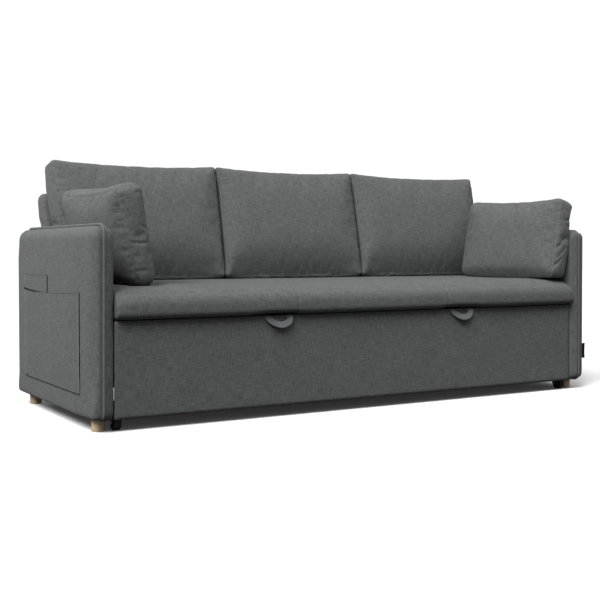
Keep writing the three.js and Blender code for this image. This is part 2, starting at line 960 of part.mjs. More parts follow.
// A frame of bars in plan, pressed from sheet and open below
function channelFrame(bars, z0, z1, wall) {
  const outside = bars.map(([x0, x1, y0, y1]) => block(x0, x1, y0, y1, z0, z1));
  const inside = bars.map(([x0, x1, y0, y1]) =>
    block(x0 + wall, x1 - wall, y0 + wall, y1 - wall, z0 - overrun, z1 - wall),
  );
  return joined(...outside).subtract(joined(...inside));
}

// Links that lift the deck, folded flat: low end on the rolling frame, high end on the deck
const linkMiddleX = (deckHalf + frameHalf - frameBar) / 2;
const linkInnerX = linkMiddleX - linkThick / 2;
const linkOuterX = linkMiddleX + linkThick / 2;
const linkLowZ = (frameBottom + frameTop) / 2;
const linkHighZ = (deckBottom + deckTop) / 2;
const linkRise = linkHighZ - linkLowZ;
const linkRun = Math.sqrt(linkLength * linkLength - linkRise * linkRise);
const linkBaseYs = [0, 1].map(
  (i) => bedFront + bedDepth * (linkFrontShare + i * linkSpacingShare),
);

function rollingFrame() {
  const sides = [-frameHalf, frameHalf - frameBar].map((x) => [x, x + frameBar, bedFront, bedRear]);
  const bars = [
    ...sides,
    [-frontBarHalf, frontBarHalf, bedFront, bedFront + frameBar],
    [-frameHalf, frameHalf, bedRear - frameBar, bedRear],
    [-frameBar / 2, frameBar / 2, bedFront, bedRear],
  ];
  const pinX = frameHalf - frameBar;
  const z = linkLowZ;
  const pins = linkBaseYs.flatMap((y) =>
    [-1, 1].flatMap((side) => linkPin(side, pinX, linkInnerX - linkPinHeadThick - touchGap, y, z)),
  );
  return channelFrame(bars, frameBottom, frameTop, frameWall).add(joined(...pins));
}

// A headed pin from a bar through the eye of a link, towards smaller or larger X
function linkPin(side, fromX, toX, y, z) {
  const headFrom = toX < fromX ? toX + linkPinHeadThick : toX - linkPinHeadThick;
  const root = fromX + (toX < fromX ? frameWall : -frameWall);
  const span = (a, b) => [Math.min(side * a, side * b), Math.max(side * a, side * b)];
  return [
    rodX(linkPinRadius, ...span(root, toX), y, z),
    rodX(linkPinHead, ...span(headFrom, toX), y, z),
  ];
}

add("bed_rolling_frame", rollingFrame(), greySteel(), bed);

const deckFront = bedFront + deckInset;
const deckRear = bedRear - deckInset;
function deckFrame() {
  const sides = [-deckHalf, deckHalf - deckBar].map((x) => [x, x + deckBar, deckFront, deckRear]);
  const bars = [
    ...sides,
    [-deckHalf, deckHalf, deckFront, deckFront + deckBar],
    [-deckHalf, deckHalf, deckRear - deckBar, deckRear],
    [-deckBar / 2, deckBar / 2, deckFront, deckRear],
  ];
  const end = linkOuterX + linkPinHeadThick + touchGap;
  const pins = linkBaseYs.flatMap((y) =>
    [-1, 1].flatMap((side) => linkPin(side, deckHalf, end, y + linkRun, linkHighZ)),
  );
  return channelFrame(bars, deckBottom, deckTop, frameWall).add(joined(...pins));
}
add("bed_deck_frame", deckFrame(), greySteel(), bed);

function liftLink() {
  const half = linkWidth / 2;
  const bar = new THREE.Shape();
  bar.absarc(0, 0, half, Math.PI / 2, Math.PI * (3 / 2), false);
  bar.absarc(linkLength, 0, half, -Math.PI / 2, Math.PI / 2, false);
  const eye = linkPinRadius + linkPinFit;
  for (const y of [0, linkLength]) {
    const hole = new THREE.Path();
    hole.absarc(y, 0, eye, 0, 2 * Math.PI, true);
    bar.holes.push(hole);
  }
  return alongX(bar, -linkThick / 2, linkThick / 2);
}
for (const [i, y] of linkBaseYs.entries()) {
  for (const [name, side] of [["left", -1], ["right", 1]]) {
    const link = liftLink();
    const row = i === 0 ? "front" : "rear";
    const mesh = add("lift_link_" + row + "_" + name, link, brightSteel(), bed);
    mesh.position.set(side * linkMiddleX, y, linkLowZ);
    mesh.rotation.x = Math.asin(linkRise / linkLength);
  }
}

const bedSlatBottom = deckTop + touchGap + strapThick;
const bedSlatTop = bedSlatBottom + slatThick;
const bedSlats = slatMat({
  half: deckHalf,
  width: bedSlatWidth,
  y0: deckFront,
  y1: deckRear,
  z0: bedSlatBottom,
  z1: bedSlatTop,
});
add("bed_slats", bedSlats, slatWood(), bed);

// Mattress with softly rounded edges
function mattress() {
  const bottom = bedSlatTop + touchGap;
  const rings = [];
  const level = (z, inset) =>
    roundedLoop(
      -mattressHalf + inset,
      mattressHalf - inset,
      bedFront + mattressInset + inset,
      bedRear - mattressInset - inset,
      2 * mattressRound,
    ).map((p) => new THREE.Vector3(p.a, p.b, z));
  for (let i = 0; i <= arcSteps; i++) {
    const angle = ((i / arcSteps) * Math.PI) / 2;
    const inset = mattressRound * (1 - Math.sin(angle));
    rings.push(level(bottom + mattressRound * (1 - Math.cos(angle)), inset));
  }
  for (let i = arcSteps; i >= 0; i--) {
    const angle = ((i / arcSteps) * Math.PI) / 2;
    const inset = mattressRound * (1 - Math.sin(angle));
    rings.push(level(mattressTop - mattressRound * (1 - Math.cos(angle)), inset));
  }
  return loft(rings);
}
add("bed_mattress", mattress(), ticking(), bed);

// Brackets with stub axles, and the rollers that run in the tracks
const trackInside = innerX - touchGap - trackWall;
const rollerOuter = trackInside - rollerPlay;
const rollerInner = rollerOuter - rollerWidth;
function rollerBracket() {
  const x0 = frameHalf + touchGap;
  const x1 = x0 + bracketThick;
  const y0 = rollerY - bracketLength / 2;
  const outline = new THREE.Shape();
  outline.moveTo(y0, frameBottom);
  outline.lineTo(y0 + bracketLength, frameBottom);
  outline.lineTo(rollerY + bracketMargin, rollerZ);
  outline.absarc(rollerY, rollerZ, bracketMargin, 0, Math.PI, false);
  outline.lineTo(y0, frameTop);
  const shoulder = rodX(stubShoulder, x0, rollerInner - touchGap, rollerY, rollerZ);
  const pin = rodX(stubRadius, x0, rollerOuter + rollerPlay / 2, rollerY, rollerZ);
  return joined(alongX(outline, x0, x1), shoulder, pin);
}
addPair("roller_bracket", rollerBracket(), greySteel, bed);

// A wheel about X: tread, rounded shoulders, dished sides and a bore
function wheel({ radius, width, bore, hub, dish, round, sides }) {
  const half = width / 2;
  const rim = radius - 2 * round;
  const profile = [
    [bore, -half],
    [hub, -half],
    [hub, dish - half],
    [rim, dish - half],
    [rim, -half],
    [radius - round, -half],
    [radius, round - half],
    [radius, half - round],
    [radius - round, half],
    [rim, half],
    [rim, half - dish],
    [hub, half - dish],
    [hub, half],
    [bore, half],
    [bore, -half],
  ];
  const outline = profile.map(([r, x]) => new THREE.Vector2(r, x));
  return facingOut(mergeLathe(new THREE.LatheGeometry(outline, sides)).rotateY(Math.PI / 2));
}

function roller() {
  const half = rollerWidth / 2;
  const bore = stubRadius + stubFit;
  const profile = [
    [bore, -half],
    [rollerRadius - rollerRound, -half],
    [rollerRadius, rollerRound - half],
    [rollerRadius, half - rollerRound],
    [rollerRadius - rollerRound, half],
    [bore, half],
    [bore, -half],
  ];
  const outline = profile.map(([r, x]) => new THREE.Vector2(r, x));
  return facingOut(mergeLathe(new THREE.LatheGeometry(outline, roundSides)).rotateY(Math.PI / 2));
}

for (const [name, side] of [["left", -1], ["right", 1]]) {
  const mount = new THREE.Group();
  mount.position.set((side * (rollerInner + rollerOuter)) / 2, rollerY, rollerZ);
  bed.add(mount);
  add("rear_roller_" + name, roller(), blackPlastic(), mount);
}

// Front casters: a fork under the rolling frame, an axle with heads and a wheel
const forkInner = wheelWidth / 2 + forkPlay;
const forkOuter = forkInner + forkWall;

function casterFork() {
  const top = frameBottom - touchGap - wheelRadius;
  const half = forkPlateLength / 2;
  const cheek = new THREE.Shape();
  cheek.moveTo(-half, top);
  cheek.lineTo(-half, top - forkWall);
  cheek.lineTo(-forkNose, 0);
  cheek.absarc(0, 0, forkNose, Math.PI, 2 * Math.PI, false);
  cheek.lineTo(half, top - forkWall);
  cheek.lineTo(half, top);
  const hole = new THREE.Path();
  hole.absarc(0, 0, axleRadius + axleFit, 0, 2 * Math.PI, true);
  cheek.holes.push(hole);
  return joined(
    alongX(cheek, -forkOuter, -forkInner),
    alongX(cheek, forkInner, forkOuter),
    block(-forkOuter, forkOuter, -half, half, top - forkWall, top),
  );
}

function casterAxle() {
  const end = forkOuter + touchGap;
  return joined(
    rodX(axleRadius, -end - axleHeadThick, end + axleHeadThick, 0, 0),
    rodX(axleHead, -end - axleHeadThick, -end, 0, 0),
    rodX(axleHead, end, end + axleHeadThick, 0, 0),
  );
}

for (const [name, side] of [["left", -1], ["right", 1]]) {
  const caster = new THREE.Group();
  caster.position.set(side * (frontBarHalf - forkOuter), casterY, wheelRadius);
  bed.add(caster);
  add("caster_fork_" + name, casterFork(), blackPlastic(), caster);
  add("caster_axle_" + name, casterAxle(), brightSteel(), caster);
  const tread = wheel({
    radius: wheelRadius,
    width: wheelWidth,
    bore: axleRadius + axleFit,
    hub: wheelHub,
    dish: wheelDish,
    round: wheelRound,
    sides: wheelSides,
  });
  add("caster_wheel_" + name, tread, blackRubber(), caster);
}

// Pull loops: a band of webbing whose two ends are sewn to the top of the front panel
function pullLoop() {
  const half = loopWidth / 2;
  const inner = half - loopWebbing;
  const corner = loopDrop * (2 / 5);
  const band = new THREE.Shape();
  band.moveTo(-half, 0);
  band.lineTo(-half, corner - loopDrop);
  band.quadraticCurveTo(-half, -loopDrop, corner - half, -loopDrop);
  band.lineTo(half - corner, -loopDrop);
  band.quadraticCurveTo(half, -loopDrop, half, corner - loopDrop);
  band.lineTo(half, 0);
  band.lineTo(inner, 0);
  band.lineTo(inner, corner - loopDrop);
  band.lineTo(-inner, corner - loopDrop);
  band.lineTo(-inner, 0);
  return alongY(band, -loopThick, 0);
}
for (const [name, side] of [["left", -1], ["right", 1]]) {
  const mesh = add("pull_loop_" + name, pullLoop(), webbing(), bed);
  mesh.position.set(side * loopPlace, panelRecess - touchGap, panelTop - loopRootDrop);
  mesh.rotation.x = -THREE.MathUtils.degToRad(loopTilt);
}

// The origin is on the floor under the middle of the whole outline
const bounds = new THREE.Box3().setFromObject(sofa, true);
const middle = bounds.getCenter(new THREE.Vector3());
sofa.position.set(-middle.x, -middle.y, 0);
const model = new THREE.Group();
model.add(sofa);

export default model;
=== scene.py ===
# Looks of the three seat sofa with a bed that rolls out from under the seat.
# Metres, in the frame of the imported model: +Z up, the front looks along -Y.
import json
import math

import bpy
import numpy as np
from mathutils import Matrix, Vector, noise


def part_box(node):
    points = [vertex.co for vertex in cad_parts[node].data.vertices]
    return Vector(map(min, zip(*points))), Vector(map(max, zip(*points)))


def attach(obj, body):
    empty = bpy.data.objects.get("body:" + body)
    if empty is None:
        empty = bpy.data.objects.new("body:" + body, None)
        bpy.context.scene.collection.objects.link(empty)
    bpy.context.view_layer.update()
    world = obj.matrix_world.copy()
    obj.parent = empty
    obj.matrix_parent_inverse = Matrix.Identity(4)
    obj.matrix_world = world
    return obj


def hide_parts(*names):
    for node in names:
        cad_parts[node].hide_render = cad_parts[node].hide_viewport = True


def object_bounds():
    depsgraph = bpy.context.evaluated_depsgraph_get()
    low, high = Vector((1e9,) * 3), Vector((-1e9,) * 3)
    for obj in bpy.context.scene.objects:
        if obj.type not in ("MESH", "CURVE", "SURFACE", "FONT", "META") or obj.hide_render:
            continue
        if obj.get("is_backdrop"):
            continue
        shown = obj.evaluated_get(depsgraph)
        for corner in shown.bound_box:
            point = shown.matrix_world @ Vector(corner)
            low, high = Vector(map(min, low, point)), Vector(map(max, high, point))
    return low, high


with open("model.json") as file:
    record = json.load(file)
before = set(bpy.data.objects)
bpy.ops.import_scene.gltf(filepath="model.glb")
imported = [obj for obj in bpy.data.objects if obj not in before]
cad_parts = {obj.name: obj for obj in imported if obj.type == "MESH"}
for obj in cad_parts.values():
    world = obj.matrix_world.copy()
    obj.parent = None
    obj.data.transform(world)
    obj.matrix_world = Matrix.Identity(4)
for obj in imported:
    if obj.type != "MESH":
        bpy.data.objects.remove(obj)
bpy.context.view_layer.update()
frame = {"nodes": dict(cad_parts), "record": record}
scene = bpy.context.scene

# Shared names and sizes
WEAVE = "weave"  # UV layer that holds each panel's flat place in metres
PLACE = "place"  # where a vertex sits on its piece, each axis from -1 to 1
SIDE = {-1: "left", 1: "right"}
TINY = 1e-9  # keeps a division from having zero below
LEAN = math.radians(15)  # of the backrest
INNER = 0.9835  # half the width between the arms
ARM_TOP = 0.658
SEAT_TOP = 0.4612  # where the loose cushions stand


# Meshes
def lattice(*counts):
    """The surface of a box as a grid: points from -1 to 1, quads, and the side of each quad."""
    counts = np.array(counts)
    loops, sides = [], []
    for axis in range(3):
        a, b = (axis + 1) % 3, (axis + 2) % 3
        p, q = (g.ravel() for g in np.meshgrid(np.arange(counts[a]), np.arange(counts[b]), indexing="ij"))
        for end in (0, 1):
            order = [(0, 0), (1, 0), (1, 1), (0, 1)] if end else [(0, 0), (0, 1), (1, 1), (1, 0)]
            quad = np.zeros((len(p), 4, 3), int)
            for corner, (dp, dq) in enumerate(order):
                quad[:, corner, axis] = end * counts[axis]
                quad[:, corner, a] = p + dp
                quad[:, corner, b] = q + dq
            loops.append(quad)
            sides.append(np.full(len(p), 2 * axis + end))
    flat = np.concatenate(loops).reshape(-1, 3)
    code = (flat[:, 0] * (counts[1] + 1) + flat[:, 1]) * (counts[2] + 1) + flat[:, 2]
    _, first, inverse = np.unique(code, return_index=True, return_inverse=True)
    return flat[first] / counts * 2 - 1, inverse.reshape(-1, 4), np.concatenate(sides)


def spacing(half, step):
    """How many cells of about that step fit along each axis of a box with those half sizes."""
    return [max(2, int(round(2 * h / step))) for h in half]


def set_points(obj, points):
    obj.data.vertices.foreach_set("co", np.asarray(points, np.float32).ravel())
    obj.data.update()


def vectors(data, key):
    flat = np.empty(len(data) * 3, np.float32)
    data.foreach_get(key, flat)
    return flat.reshape(-1, 3).astype(float)


def points_of(mesh):
    return vectors(mesh.vertices, "co")


def places_of(mesh):
    return vectors(mesh.attributes[PLACE].data, "vector")


def outward(obj):
    return vectors(obj.data.vertex_normals, "vector")


def make(name, points, faces, uv=None, place=None):
    """A smooth shaded mesh object in the scene."""
    mesh = bpy.data.meshes.new(name)
    mesh.from_pydata(np.asarray(points).tolist(), [], [list(map(int, f)) for f in faces])
    mesh.polygons.foreach_set("use_smooth", [True] * len(mesh.polygons))
    if uv is not None:
        layer = mesh.uv_layers.new(name=WEAVE)
        layer.uv.foreach_set("vector", np.asarray(uv, np.float32).ravel())
    if place is not None:
        mesh.attributes.new(PLACE, "FLOAT_VECTOR", "POINT").data.foreach_set(
            "vector", np.asarray(place, np.float32).ravel()
        )
    mesh.update()
    obj = bpy.data.objects.new(name, mesh)
    scene.collection.objects.link(obj)
    return obj


def ring_faces(rings, sides, closed=False):
    """The quads between rings of points, and from the last ring to the first one if closed."""
    faces = []
    for i in range(rings if closed else rings - 1):
        for k in range(sides):
            j, m = (i + 1) % rings, (k + 1) % sides
            faces.append((i * sides + k, i * sides + m, j * sides + m, j * sides + k))
    return faces


PANEL_SHIFT = (0.37, 0.53)  # keeps the weave of a box's six panels from lining up


def panel_uv(units, quads, sides, half):
    """Each side of the box is a panel whose weave runs along its own edges, in metres."""
    corner = units[quads] * np.array(half)
    uv = np.zeros(corner.shape[:2] + (2,))
    for side in range(6):
        own = sides == side
        a, b = [(1, 2), (0, 2), (0, 1)][side // 2]
        uv[own, :, 0] = corner[own][:, :, a] + side * PANEL_SHIFT[0]
        uv[own, :, 1] = corner[own][:, :, b] + side * PANEL_SHIFT[1]
    return uv.reshape(-1, 2)


# where the finer cells lie, from the middle of a seam
NEAR_A_SEAM = np.array([-0.012, -0.008, -0.005, -0.0025, 0, 0.0025, 0.005, 0.008, 0.012])


def boxed(name, half, step, shape, seams=None):
    """A piece made from a gridded box, with finer cells at seams given as {axis: places in metres}.
    shape() turns the places from -1 to 1 into points."""
    lines = [np.linspace(-1, 1, n + 1) for n in spacing(half, step)]
    for axis, places in (seams or {}).items():
        close = np.concatenate([NEAR_A_SEAM + p for p in places]) / half[axis]
        close = close[np.abs(close) < 0.999]
        room = 0.6 * step / half[axis]
        own = lines[axis]
        clear = np.array([np.abs(close - t).min() > room for t in own])
        clear[[0, -1]] = True
        lines[axis] = np.sort(np.concatenate([own[clear], close]))
    counts = [len(line) - 1 for line in lines]
    units, quads, sides = lattice(*counts)
    index = np.rint((units + 1) / 2 * counts).astype(int)
    units = np.stack([lines[axis][index[:, axis]] for axis in range(3)], 1)
    uv = panel_uv(units, quads, sides, half)
    return make(name, shape(units), quads, uv, units)


def rounded(units, half, radius):
    """The grid of a box with every edge rounded."""
    half = np.array(half)
    full = units * half
    inner = np.clip(full, radius - half, half - radius)
    out = full - inner
    length = np.linalg.norm(out, axis=1, keepdims=True)
    return inner + out * radius / np.maximum(length, TINY)


def round_corner(points, a, b, corner, centre):
    """Turns the square between centre and corner, in axes a and b, into a quarter disc."""
    points = points.copy()
    sign = np.sign(np.array(corner) - np.array(centre))
    d = (points[:, [a, b]] - np.array(centre)) * sign
    hit = (d > 0).all(1)
    near = d[hit]
    pull = near.max(1) / np.maximum(np.linalg.norm(near, axis=1), TINY)
    points[np.ix_(hit, [a, b])] = np.array(centre) + near * sign * pull[:, None]
    return points


def ease(t):
    t = np.clip(t, 0, 1)
    return t * t * (3 - 2 * t)


def wave(points, size, seed, axes=(0, 1, 2)):
    """Smooth noise from -1 to 1 at each point."""
    shift = Vector((seed * 7.3, seed * 3.1, seed * 5.7))  # another part of the noise for each seed
    rest = [0] * (3 - len(axes))
    return np.array([noise.noise(Vector([p[a] / size for a in axes] + rest) + shift) for p in points])


def finer(obj):
    """One smooth subdivision, applied."""
    mod = obj.modifiers.new("finer", "SUBSURF")
    mod.levels = mod.render_levels = 1
    depsgraph = bpy.context.evaluated_depsgraph_get()
    mesh = bpy.data.meshes.new_from_object(obj.evaluated_get(depsgraph))
    obj.modifiers.clear()
    old, obj.data = obj.data, mesh
    mesh.name = old.name
    bpy.data.meshes.remove(old)
    return obj


def group(obj, name, weights):
    made = obj.vertex_groups.new(name=name)
    for i in np.flatnonzero(weights > 0.001):
        made.add([int(i)], float(weights[i]), "REPLACE")
    return made.name


PUFF_FRAMES = 20
PUFF_PRESSURE = 4.0
PUFF_STIFFNESS = 15.0
PUFF_BENDING = 4.0


def puff(obj, cap, grow, pin):
    """Cloth cut larger by grow, held where it is pinned and blown up; no point moves by more than cap."""
    before = points_of(obj.data)
    mod = obj.modifiers.new("cloth", "CLOTH")
    settings = mod.settings
    settings.quality = 5
    settings.mass = 0.3
    settings.tension_stiffness = settings.compression_stiffness = PUFF_STIFFNESS
    settings.shear_stiffness = PUFF_STIFFNESS / 3
    settings.bending_stiffness = PUFF_BENDING
    settings.use_pressure = True
    settings.uniform_pressure_force = PUFF_PRESSURE
    settings.effector_weights.gravity = 0
    settings.shrink_min = -grow
    settings.vertex_group_mass = group(obj, "pin", pin)
    mod.collision_settings.use_collision = False
    mod.point_cache.frame_start, mod.point_cache.frame_end = 1, PUFF_FRAMES
    for step in range(1, PUFF_FRAMES + 1):
        scene.frame_set(step)
    depsgraph = bpy.context.evaluated_depsgraph_get()
    evaluated = obj.evaluated_get(depsgraph)
    after = points_of(evaluated.to_mesh())
    evaluated.to_mesh_clear()
    obj.modifiers.clear()
    obj.vertex_groups.clear()
    scene.frame_set(1)
    move = after - before
    length = np.linalg.norm(move, axis=1, keepdims=True)
    move *= np.tanh(length / cap) * cap / np.maximum(length, TINY)
    set_points(obj, before + move)


# Materials
def shader(name):
    """A new material, its nodes and its surface."""
    material = bpy.data.materials.new(name)
    material.use_nodes = True
    nodes = material.node_tree.nodes
    return material, nodes, nodes["Principled BSDF"]


def put(socket, value):
    """Links an input to an output, or sets its value."""
    if isinstance(value, bpy.types.NodeSocket):
        socket.id_data.links.new(value, socket)
    else:
        socket.default_value = value


def fill_in(node, *given, **named):
    """Fills in a node's inputs by their places, and by their names with _ for each space."""
    for index, value in enumerate(given):
        put(node.inputs[index], value)
    for key, value in named.items():
        put(node.inputs[key.replace("_", " ")], value)
    return node


def add_node(nodes, kind, *given, **values):
    """A shader node with its settings, which start in lower case, and its inputs."""
    node = nodes.new("ShaderNode" + kind)
    for key in [key for key in values if key[0].islower()]:
        setattr(node, key, values.pop(key))
    return fill_in(node, *given, **values)


def mixed(nodes, share, dark, light):
    """A colour between two others."""
    mix = add_node(nodes, "Mix", data_type="RGBA", Factor=share)
    put(mix.inputs[6], dark)
    put(mix.inputs[7], light)
    return mix.outputs[2]


PATCH_SHARE = 0.12  # how much broad patches add to the tint of the yarns


def weave_group():
    """Woven cloth from the flat place on a panel: streaky yarns both ways, and their relief."""
    tree = bpy.data.node_groups.new("woven", "ShaderNodeTree")
    for name, way, kind in (
        ("Dark", "INPUT", "Color"),
        ("Light", "INPUT", "Color"),
        ("Yarn", "INPUT", "Float"),
        ("Relief", "INPUT", "Float"),
        ("Color", "OUTPUT", "Color"),
        ("Normal", "OUTPUT", "Vector"),
    ):
        tree.interface.new_socket(name, in_out=way, socket_type="NodeSocket" + kind)
    nodes = tree.nodes
    given = nodes.new("NodeGroupInput").outputs
    flat = add_node(nodes, "UVMap", uv_map=WEAVE).outputs["UV"]
    per_yarn = add_node(nodes, "VectorMath", flat, operation="SCALE", Scale=given["Yarn"]).outputs[0]
    streaks = []
    for stretch in ((1.0, 0.05, 1.0), (0.05, 1.0, 1.0)):
        turned = add_node(nodes, "VectorMath", per_yarn, stretch, operation="MULTIPLY").outputs[0]
        streak = add_node(nodes, "TexNoise", turned, noise_dimensions="2D", Scale=1.0, Roughness=0.65)
        streaks.append(fill_in(streak, Detail=3.0).outputs["Fac"])
    both = add_node(nodes, "Math", *streaks, operation="ADD").outputs[0]
    patch = add_node(nodes, "TexNoise", flat, noise_dimensions="2D", Scale=9.0, Detail=2.0).outputs["Fac"]
    with_patch = add_node(nodes, "Math", patch, PATCH_SHARE, both, operation="MULTIPLY_ADD").outputs[0]
    spread = add_node(nodes, "MapRange", with_patch, From_Min=0.72, From_Max=1.4).outputs[0]
    tint = mixed(nodes, spread, given["Dark"], given["Light"])
    knots = add_node(nodes, "TexVoronoi", per_yarn, voronoi_dimensions="2D", Scale=1.0, Randomness=0.35)
    height = add_node(nodes, "Math", both, knots.outputs["Distance"], operation="SUBTRACT").outputs[0]
    bump = add_node(nodes, "Bump", Distance=0.0006, Height=height, Strength=given["Relief"]).outputs[0]
    fill_in(nodes.new("NodeGroupOutput"), Color=tint, Normal=bump)
    return tree


WOVEN = weave_group()


def cloth(name, dark, light, yarn, relief=0.35):
    material, nodes, surface = shader(name)
    woven = add_node(nodes, "Group", node_tree=WOVEN, Dark=(*dark, 1), Light=(*light, 1))
    fill_in(woven, Yarn=yarn, Relief=relief)
    fill_in(surface, Base_Color=woven.outputs["Color"], Normal=woven.outputs["Normal"], Roughness=0.95)
    fill_in(surface, Specular_IOR_Level=0.15, Sheen_Weight=0.06, Sheen_Roughness=0.45)
    return material


GRAIN_ALONG, GRAIN_ACROSS = 4, 60  # how many times the grain changes in a metre


def wood(name, dark, light, along, scale=1.0, roughness=0.5):
    material, nodes, surface = shader(name)
    where = add_node(nodes, "TexCoord").outputs["Object"]
    grains = [scale * (GRAIN_ALONG if axis == along else GRAIN_ACROSS) for axis in range(3)]
    place = add_node(nodes, "Mapping", where, Scale=grains).outputs[0]
    noisy = add_node(nodes, "TexNoise", place, Scale=1.0, Detail=6.0, Roughness=0.6, Distortion=0.6)
    grain = noisy.outputs["Fac"]
    ramp = add_node(nodes, "MapRange", grain, From_Min=0.3, From_Max=0.7).outputs[0]
    bump = add_node(nodes, "Bump", Distance=0.0004, Strength=0.3, Height=grain).outputs[0]
    tint = mixed(nodes, ramp, (*dark, 1), (*light, 1))
    fill_in(surface, Base_Color=tint, Normal=bump, Roughness=roughness)
    return material


SPECKLES = 400.0  # in a metre of a hard surface
WEAR = 0.15  # how far its colour goes up and down


def hard(name, colour, metallic, roughness):
    material, nodes, surface = shader(name)
    where = add_node(nodes, "TexCoord").outputs["Object"]
    grain = add_node(nodes, "TexNoise", where, Scale=SPECKLES, Detail=4.0).outputs["Fac"]
    wear = add_node(nodes, "TexNoise", where, Scale=SPECKLES / 20, Detail=2.0).outputs["Fac"]
    darker = (*[c * (1 - WEAR) for c in colour], 1)
    lighter = (*[min(1, c * (1 + WEAR)) for c in colour], 1)
    rough = add_node(nodes, "MapRange", grain, To_Min=roughness * 0.8, To_Max=min(1, roughness * 1.2))
    bump = add_node(nodes, "Bump", Distance=0.0002, Strength=0.25, Height=grain).outputs[0]
    fill_in(surface, Base_Color=mixed(nodes, wear, darker, lighter), Roughness=rough.outputs[0])
    fill_in(surface, Normal=bump, Metallic=metallic)
    return material


CLOTH = cloth("charcoal_cloth", (0.047, 0.048, 0.0477), (0.127, 0.1295, 0.1288), yarn=560.0, relief=0.4)
PIPING = cloth("charcoal_piping", (0.062, 0.0635, 0.063), (0.120, 0.123, 0.122), yarn=900.0)
# painted shade: near-black cloth standing for the shadow in the gaps along the pockets' front edges, rims
# and bottoms
GAP_SHADE_CLOTH = cloth("painted_gap_shade", (0.006, 0.006, 0.006), (0.018, 0.018, 0.018), yarn=1200.0)
BLACK_CLOTH = cloth("black_tape", (0.004, 0.004, 0.004), (0.012, 0.012, 0.012), yarn=900.0)
WEBBING = cloth("grey_webbing", (0.078, 0.080, 0.081), (0.140, 0.143, 0.145), yarn=500.0, relief=0.8)
TICKING = cloth("grey_ticking", (0.30, 0.31, 0.32), (0.46, 0.47, 0.48), yarn=600.0)
OAK = wood("oak", (0.46, 0.33, 0.20), (0.62, 0.475, 0.32), along=2)
SLAT = wood("slat_wood", (0.52, 0.38, 0.21), (0.70, 0.55, 0.36), along=1, scale=0.8, roughness=0.6)
# painted shade: near-black wood for the seat's slats, so the gap between seat and panel reads as a deep
# shadow
SHADE_DARK_SEAT_SLAT = wood(
    "painted_shade_slat_wood", (0.020, 0.014, 0.009), (0.045, 0.032, 0.021), along=1, scale=0.8, roughness=0.7
)
GREY_STEEL = hard("grey_paint", (0.07, 0.072, 0.076), 0.3, 0.5)
ZINC = hard("zinc_plate", (0.72, 0.72, 0.71), 0.15, 0.45)
BRIGHT_STEEL = hard("bright_steel", (0.62, 0.63, 0.64), 1.0, 0.32)
PLASTIC = hard("black_plastic", (0.022, 0.022, 0.023), 0.0, 0.28)
RUBBER = hard("black_rubber", (0.009, 0.009, 0.009), 0.0, 0.7)

SLOT_LOOKS = {
    "cloth": CLOTH,
    "piping": PIPING,
    "black_cloth": BLACK_CLOTH,
    "webbing": WEBBING,
    "ticking": TICKING,
    "oak": OAK,
    "slat_wood": SLAT,
    "grey_steel": GREY_STEEL,
    "bright_steel": BRIGHT_STEEL,
    "black_plastic": PLASTIC,
    "black_rubber": RUBBER,
}
SLOT_OF = {s["node"]: s["material_slot"] for s in frame["record"]["subparts"]}
BODY_OF = {n: body for body, nodes in frame["record"]["behaviour"]["bodies"].items() for n in nodes}
for node_name, node in frame["nodes"].items():
    node.data.materials.clear()
    # the seat's slats take the near-black painted-shade wood
    node.data.materials.append(SHADE_DARK_SEAT_SLAT if node_name == "seat_slats" else SLOT_LOOKS[SLOT_OF[node_name]])


def dress(obj, material, *nodes, fill=None, body=None, slot=None):
    """Gives a piece its material and hands it over to the CAD nodes it stands for."""
    obj.data.materials.clear()
    obj.data.materials.append(material)
    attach(obj, body or BODY_OF[nodes[0]])
    if nodes and slot is None:
        slot = SLOT_OF[nodes[0]]
    if nodes:
        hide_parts(*nodes)
    return obj


def centre_and_half(node):
    low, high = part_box(node)
    return np.array((low + high) / 2), np.array((high - low) / 2)


# Arms
SLAB_FALL = 0.014  # how far the ends of an arm's slab fall back towards its inner side
EDGE_SHIFT = {-1: 0.006, 1: 0.001}  # how far each soft pad takes in its slab's outer edge
SLAB_TURN = 0.030  # radius of a slab's corners, seen from the side
LEFT_FRONT_TURN = 0.056  # and of the left slab's top front corner
TOP_TURN = 0.026  # radius of a slab's top inner edge
TOP_FALL = 0.013  # how far a slab's top falls towards that edge
PAD_BULGE = 0.003  # how far the pad stands out beyond the CAD's flat face
PAD_TAPER = 0.0045  # how far its outer face goes in towards the floor
PAD_FRONT_FALL = {-1: 0.010, 1: 0.003}  # and towards the front


def arm_slab(side):
    node = "arm_frame_" + SIDE[side]
    centre, half = centre_and_half(node)
    half[0] -= EDGE_SHIFT[side] / 2
    centre[0] -= side * EDGE_SHIFT[side] / 2

    def shape(units):
        points = rounded(units, half, 0.004)
        for y in (-1, 1):
            for z in (-1, 1):
                corner = (y * half[1], z * half[2])
                turn = LEFT_FRONT_TURN if (side, y, z) == (-1, -1, 1) else SLAB_TURN
                inner = (y * (half[1] - turn), z * (half[2] - turn))
                points = round_corner(points, 1, 2, corner, inner)
        inside = -side * half[0]
        turn_at = (inside + side * TOP_TURN, half[2] - TOP_TURN)
        points = round_corner(points, 0, 2, (inside, half[2]), turn_at)
        inward = (half[0] - side * points[:, 0]) / (2 * half[0])
        ends = ease((np.abs(points[:, 1]) / half[1] - 0.9) / 0.1)
        points[:, 1] -= np.sign(points[:, 1]) * SLAB_FALL * inward * ends
        points[:, 2] -= TOP_FALL * inward**2 * ease(1 - (half[2] - points[:, 2]) / 0.07)
        return points + centre

    return dress(boxed("arm_slab_" + SIDE[side], half, 0.008, shape), CLOTH, node)


def pad_sink(points, side):
    """How far the pad's outer face is set in at each point."""
    low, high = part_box("arm_pad_left")
    taper = PAD_TAPER * np.clip((high.z - points[:, 2]) / (high.z - low.z), 0, 1)
    return taper + PAD_FRONT_FALL[side] * (1 - ease((points[:, 1] - low.y) / 0.15))


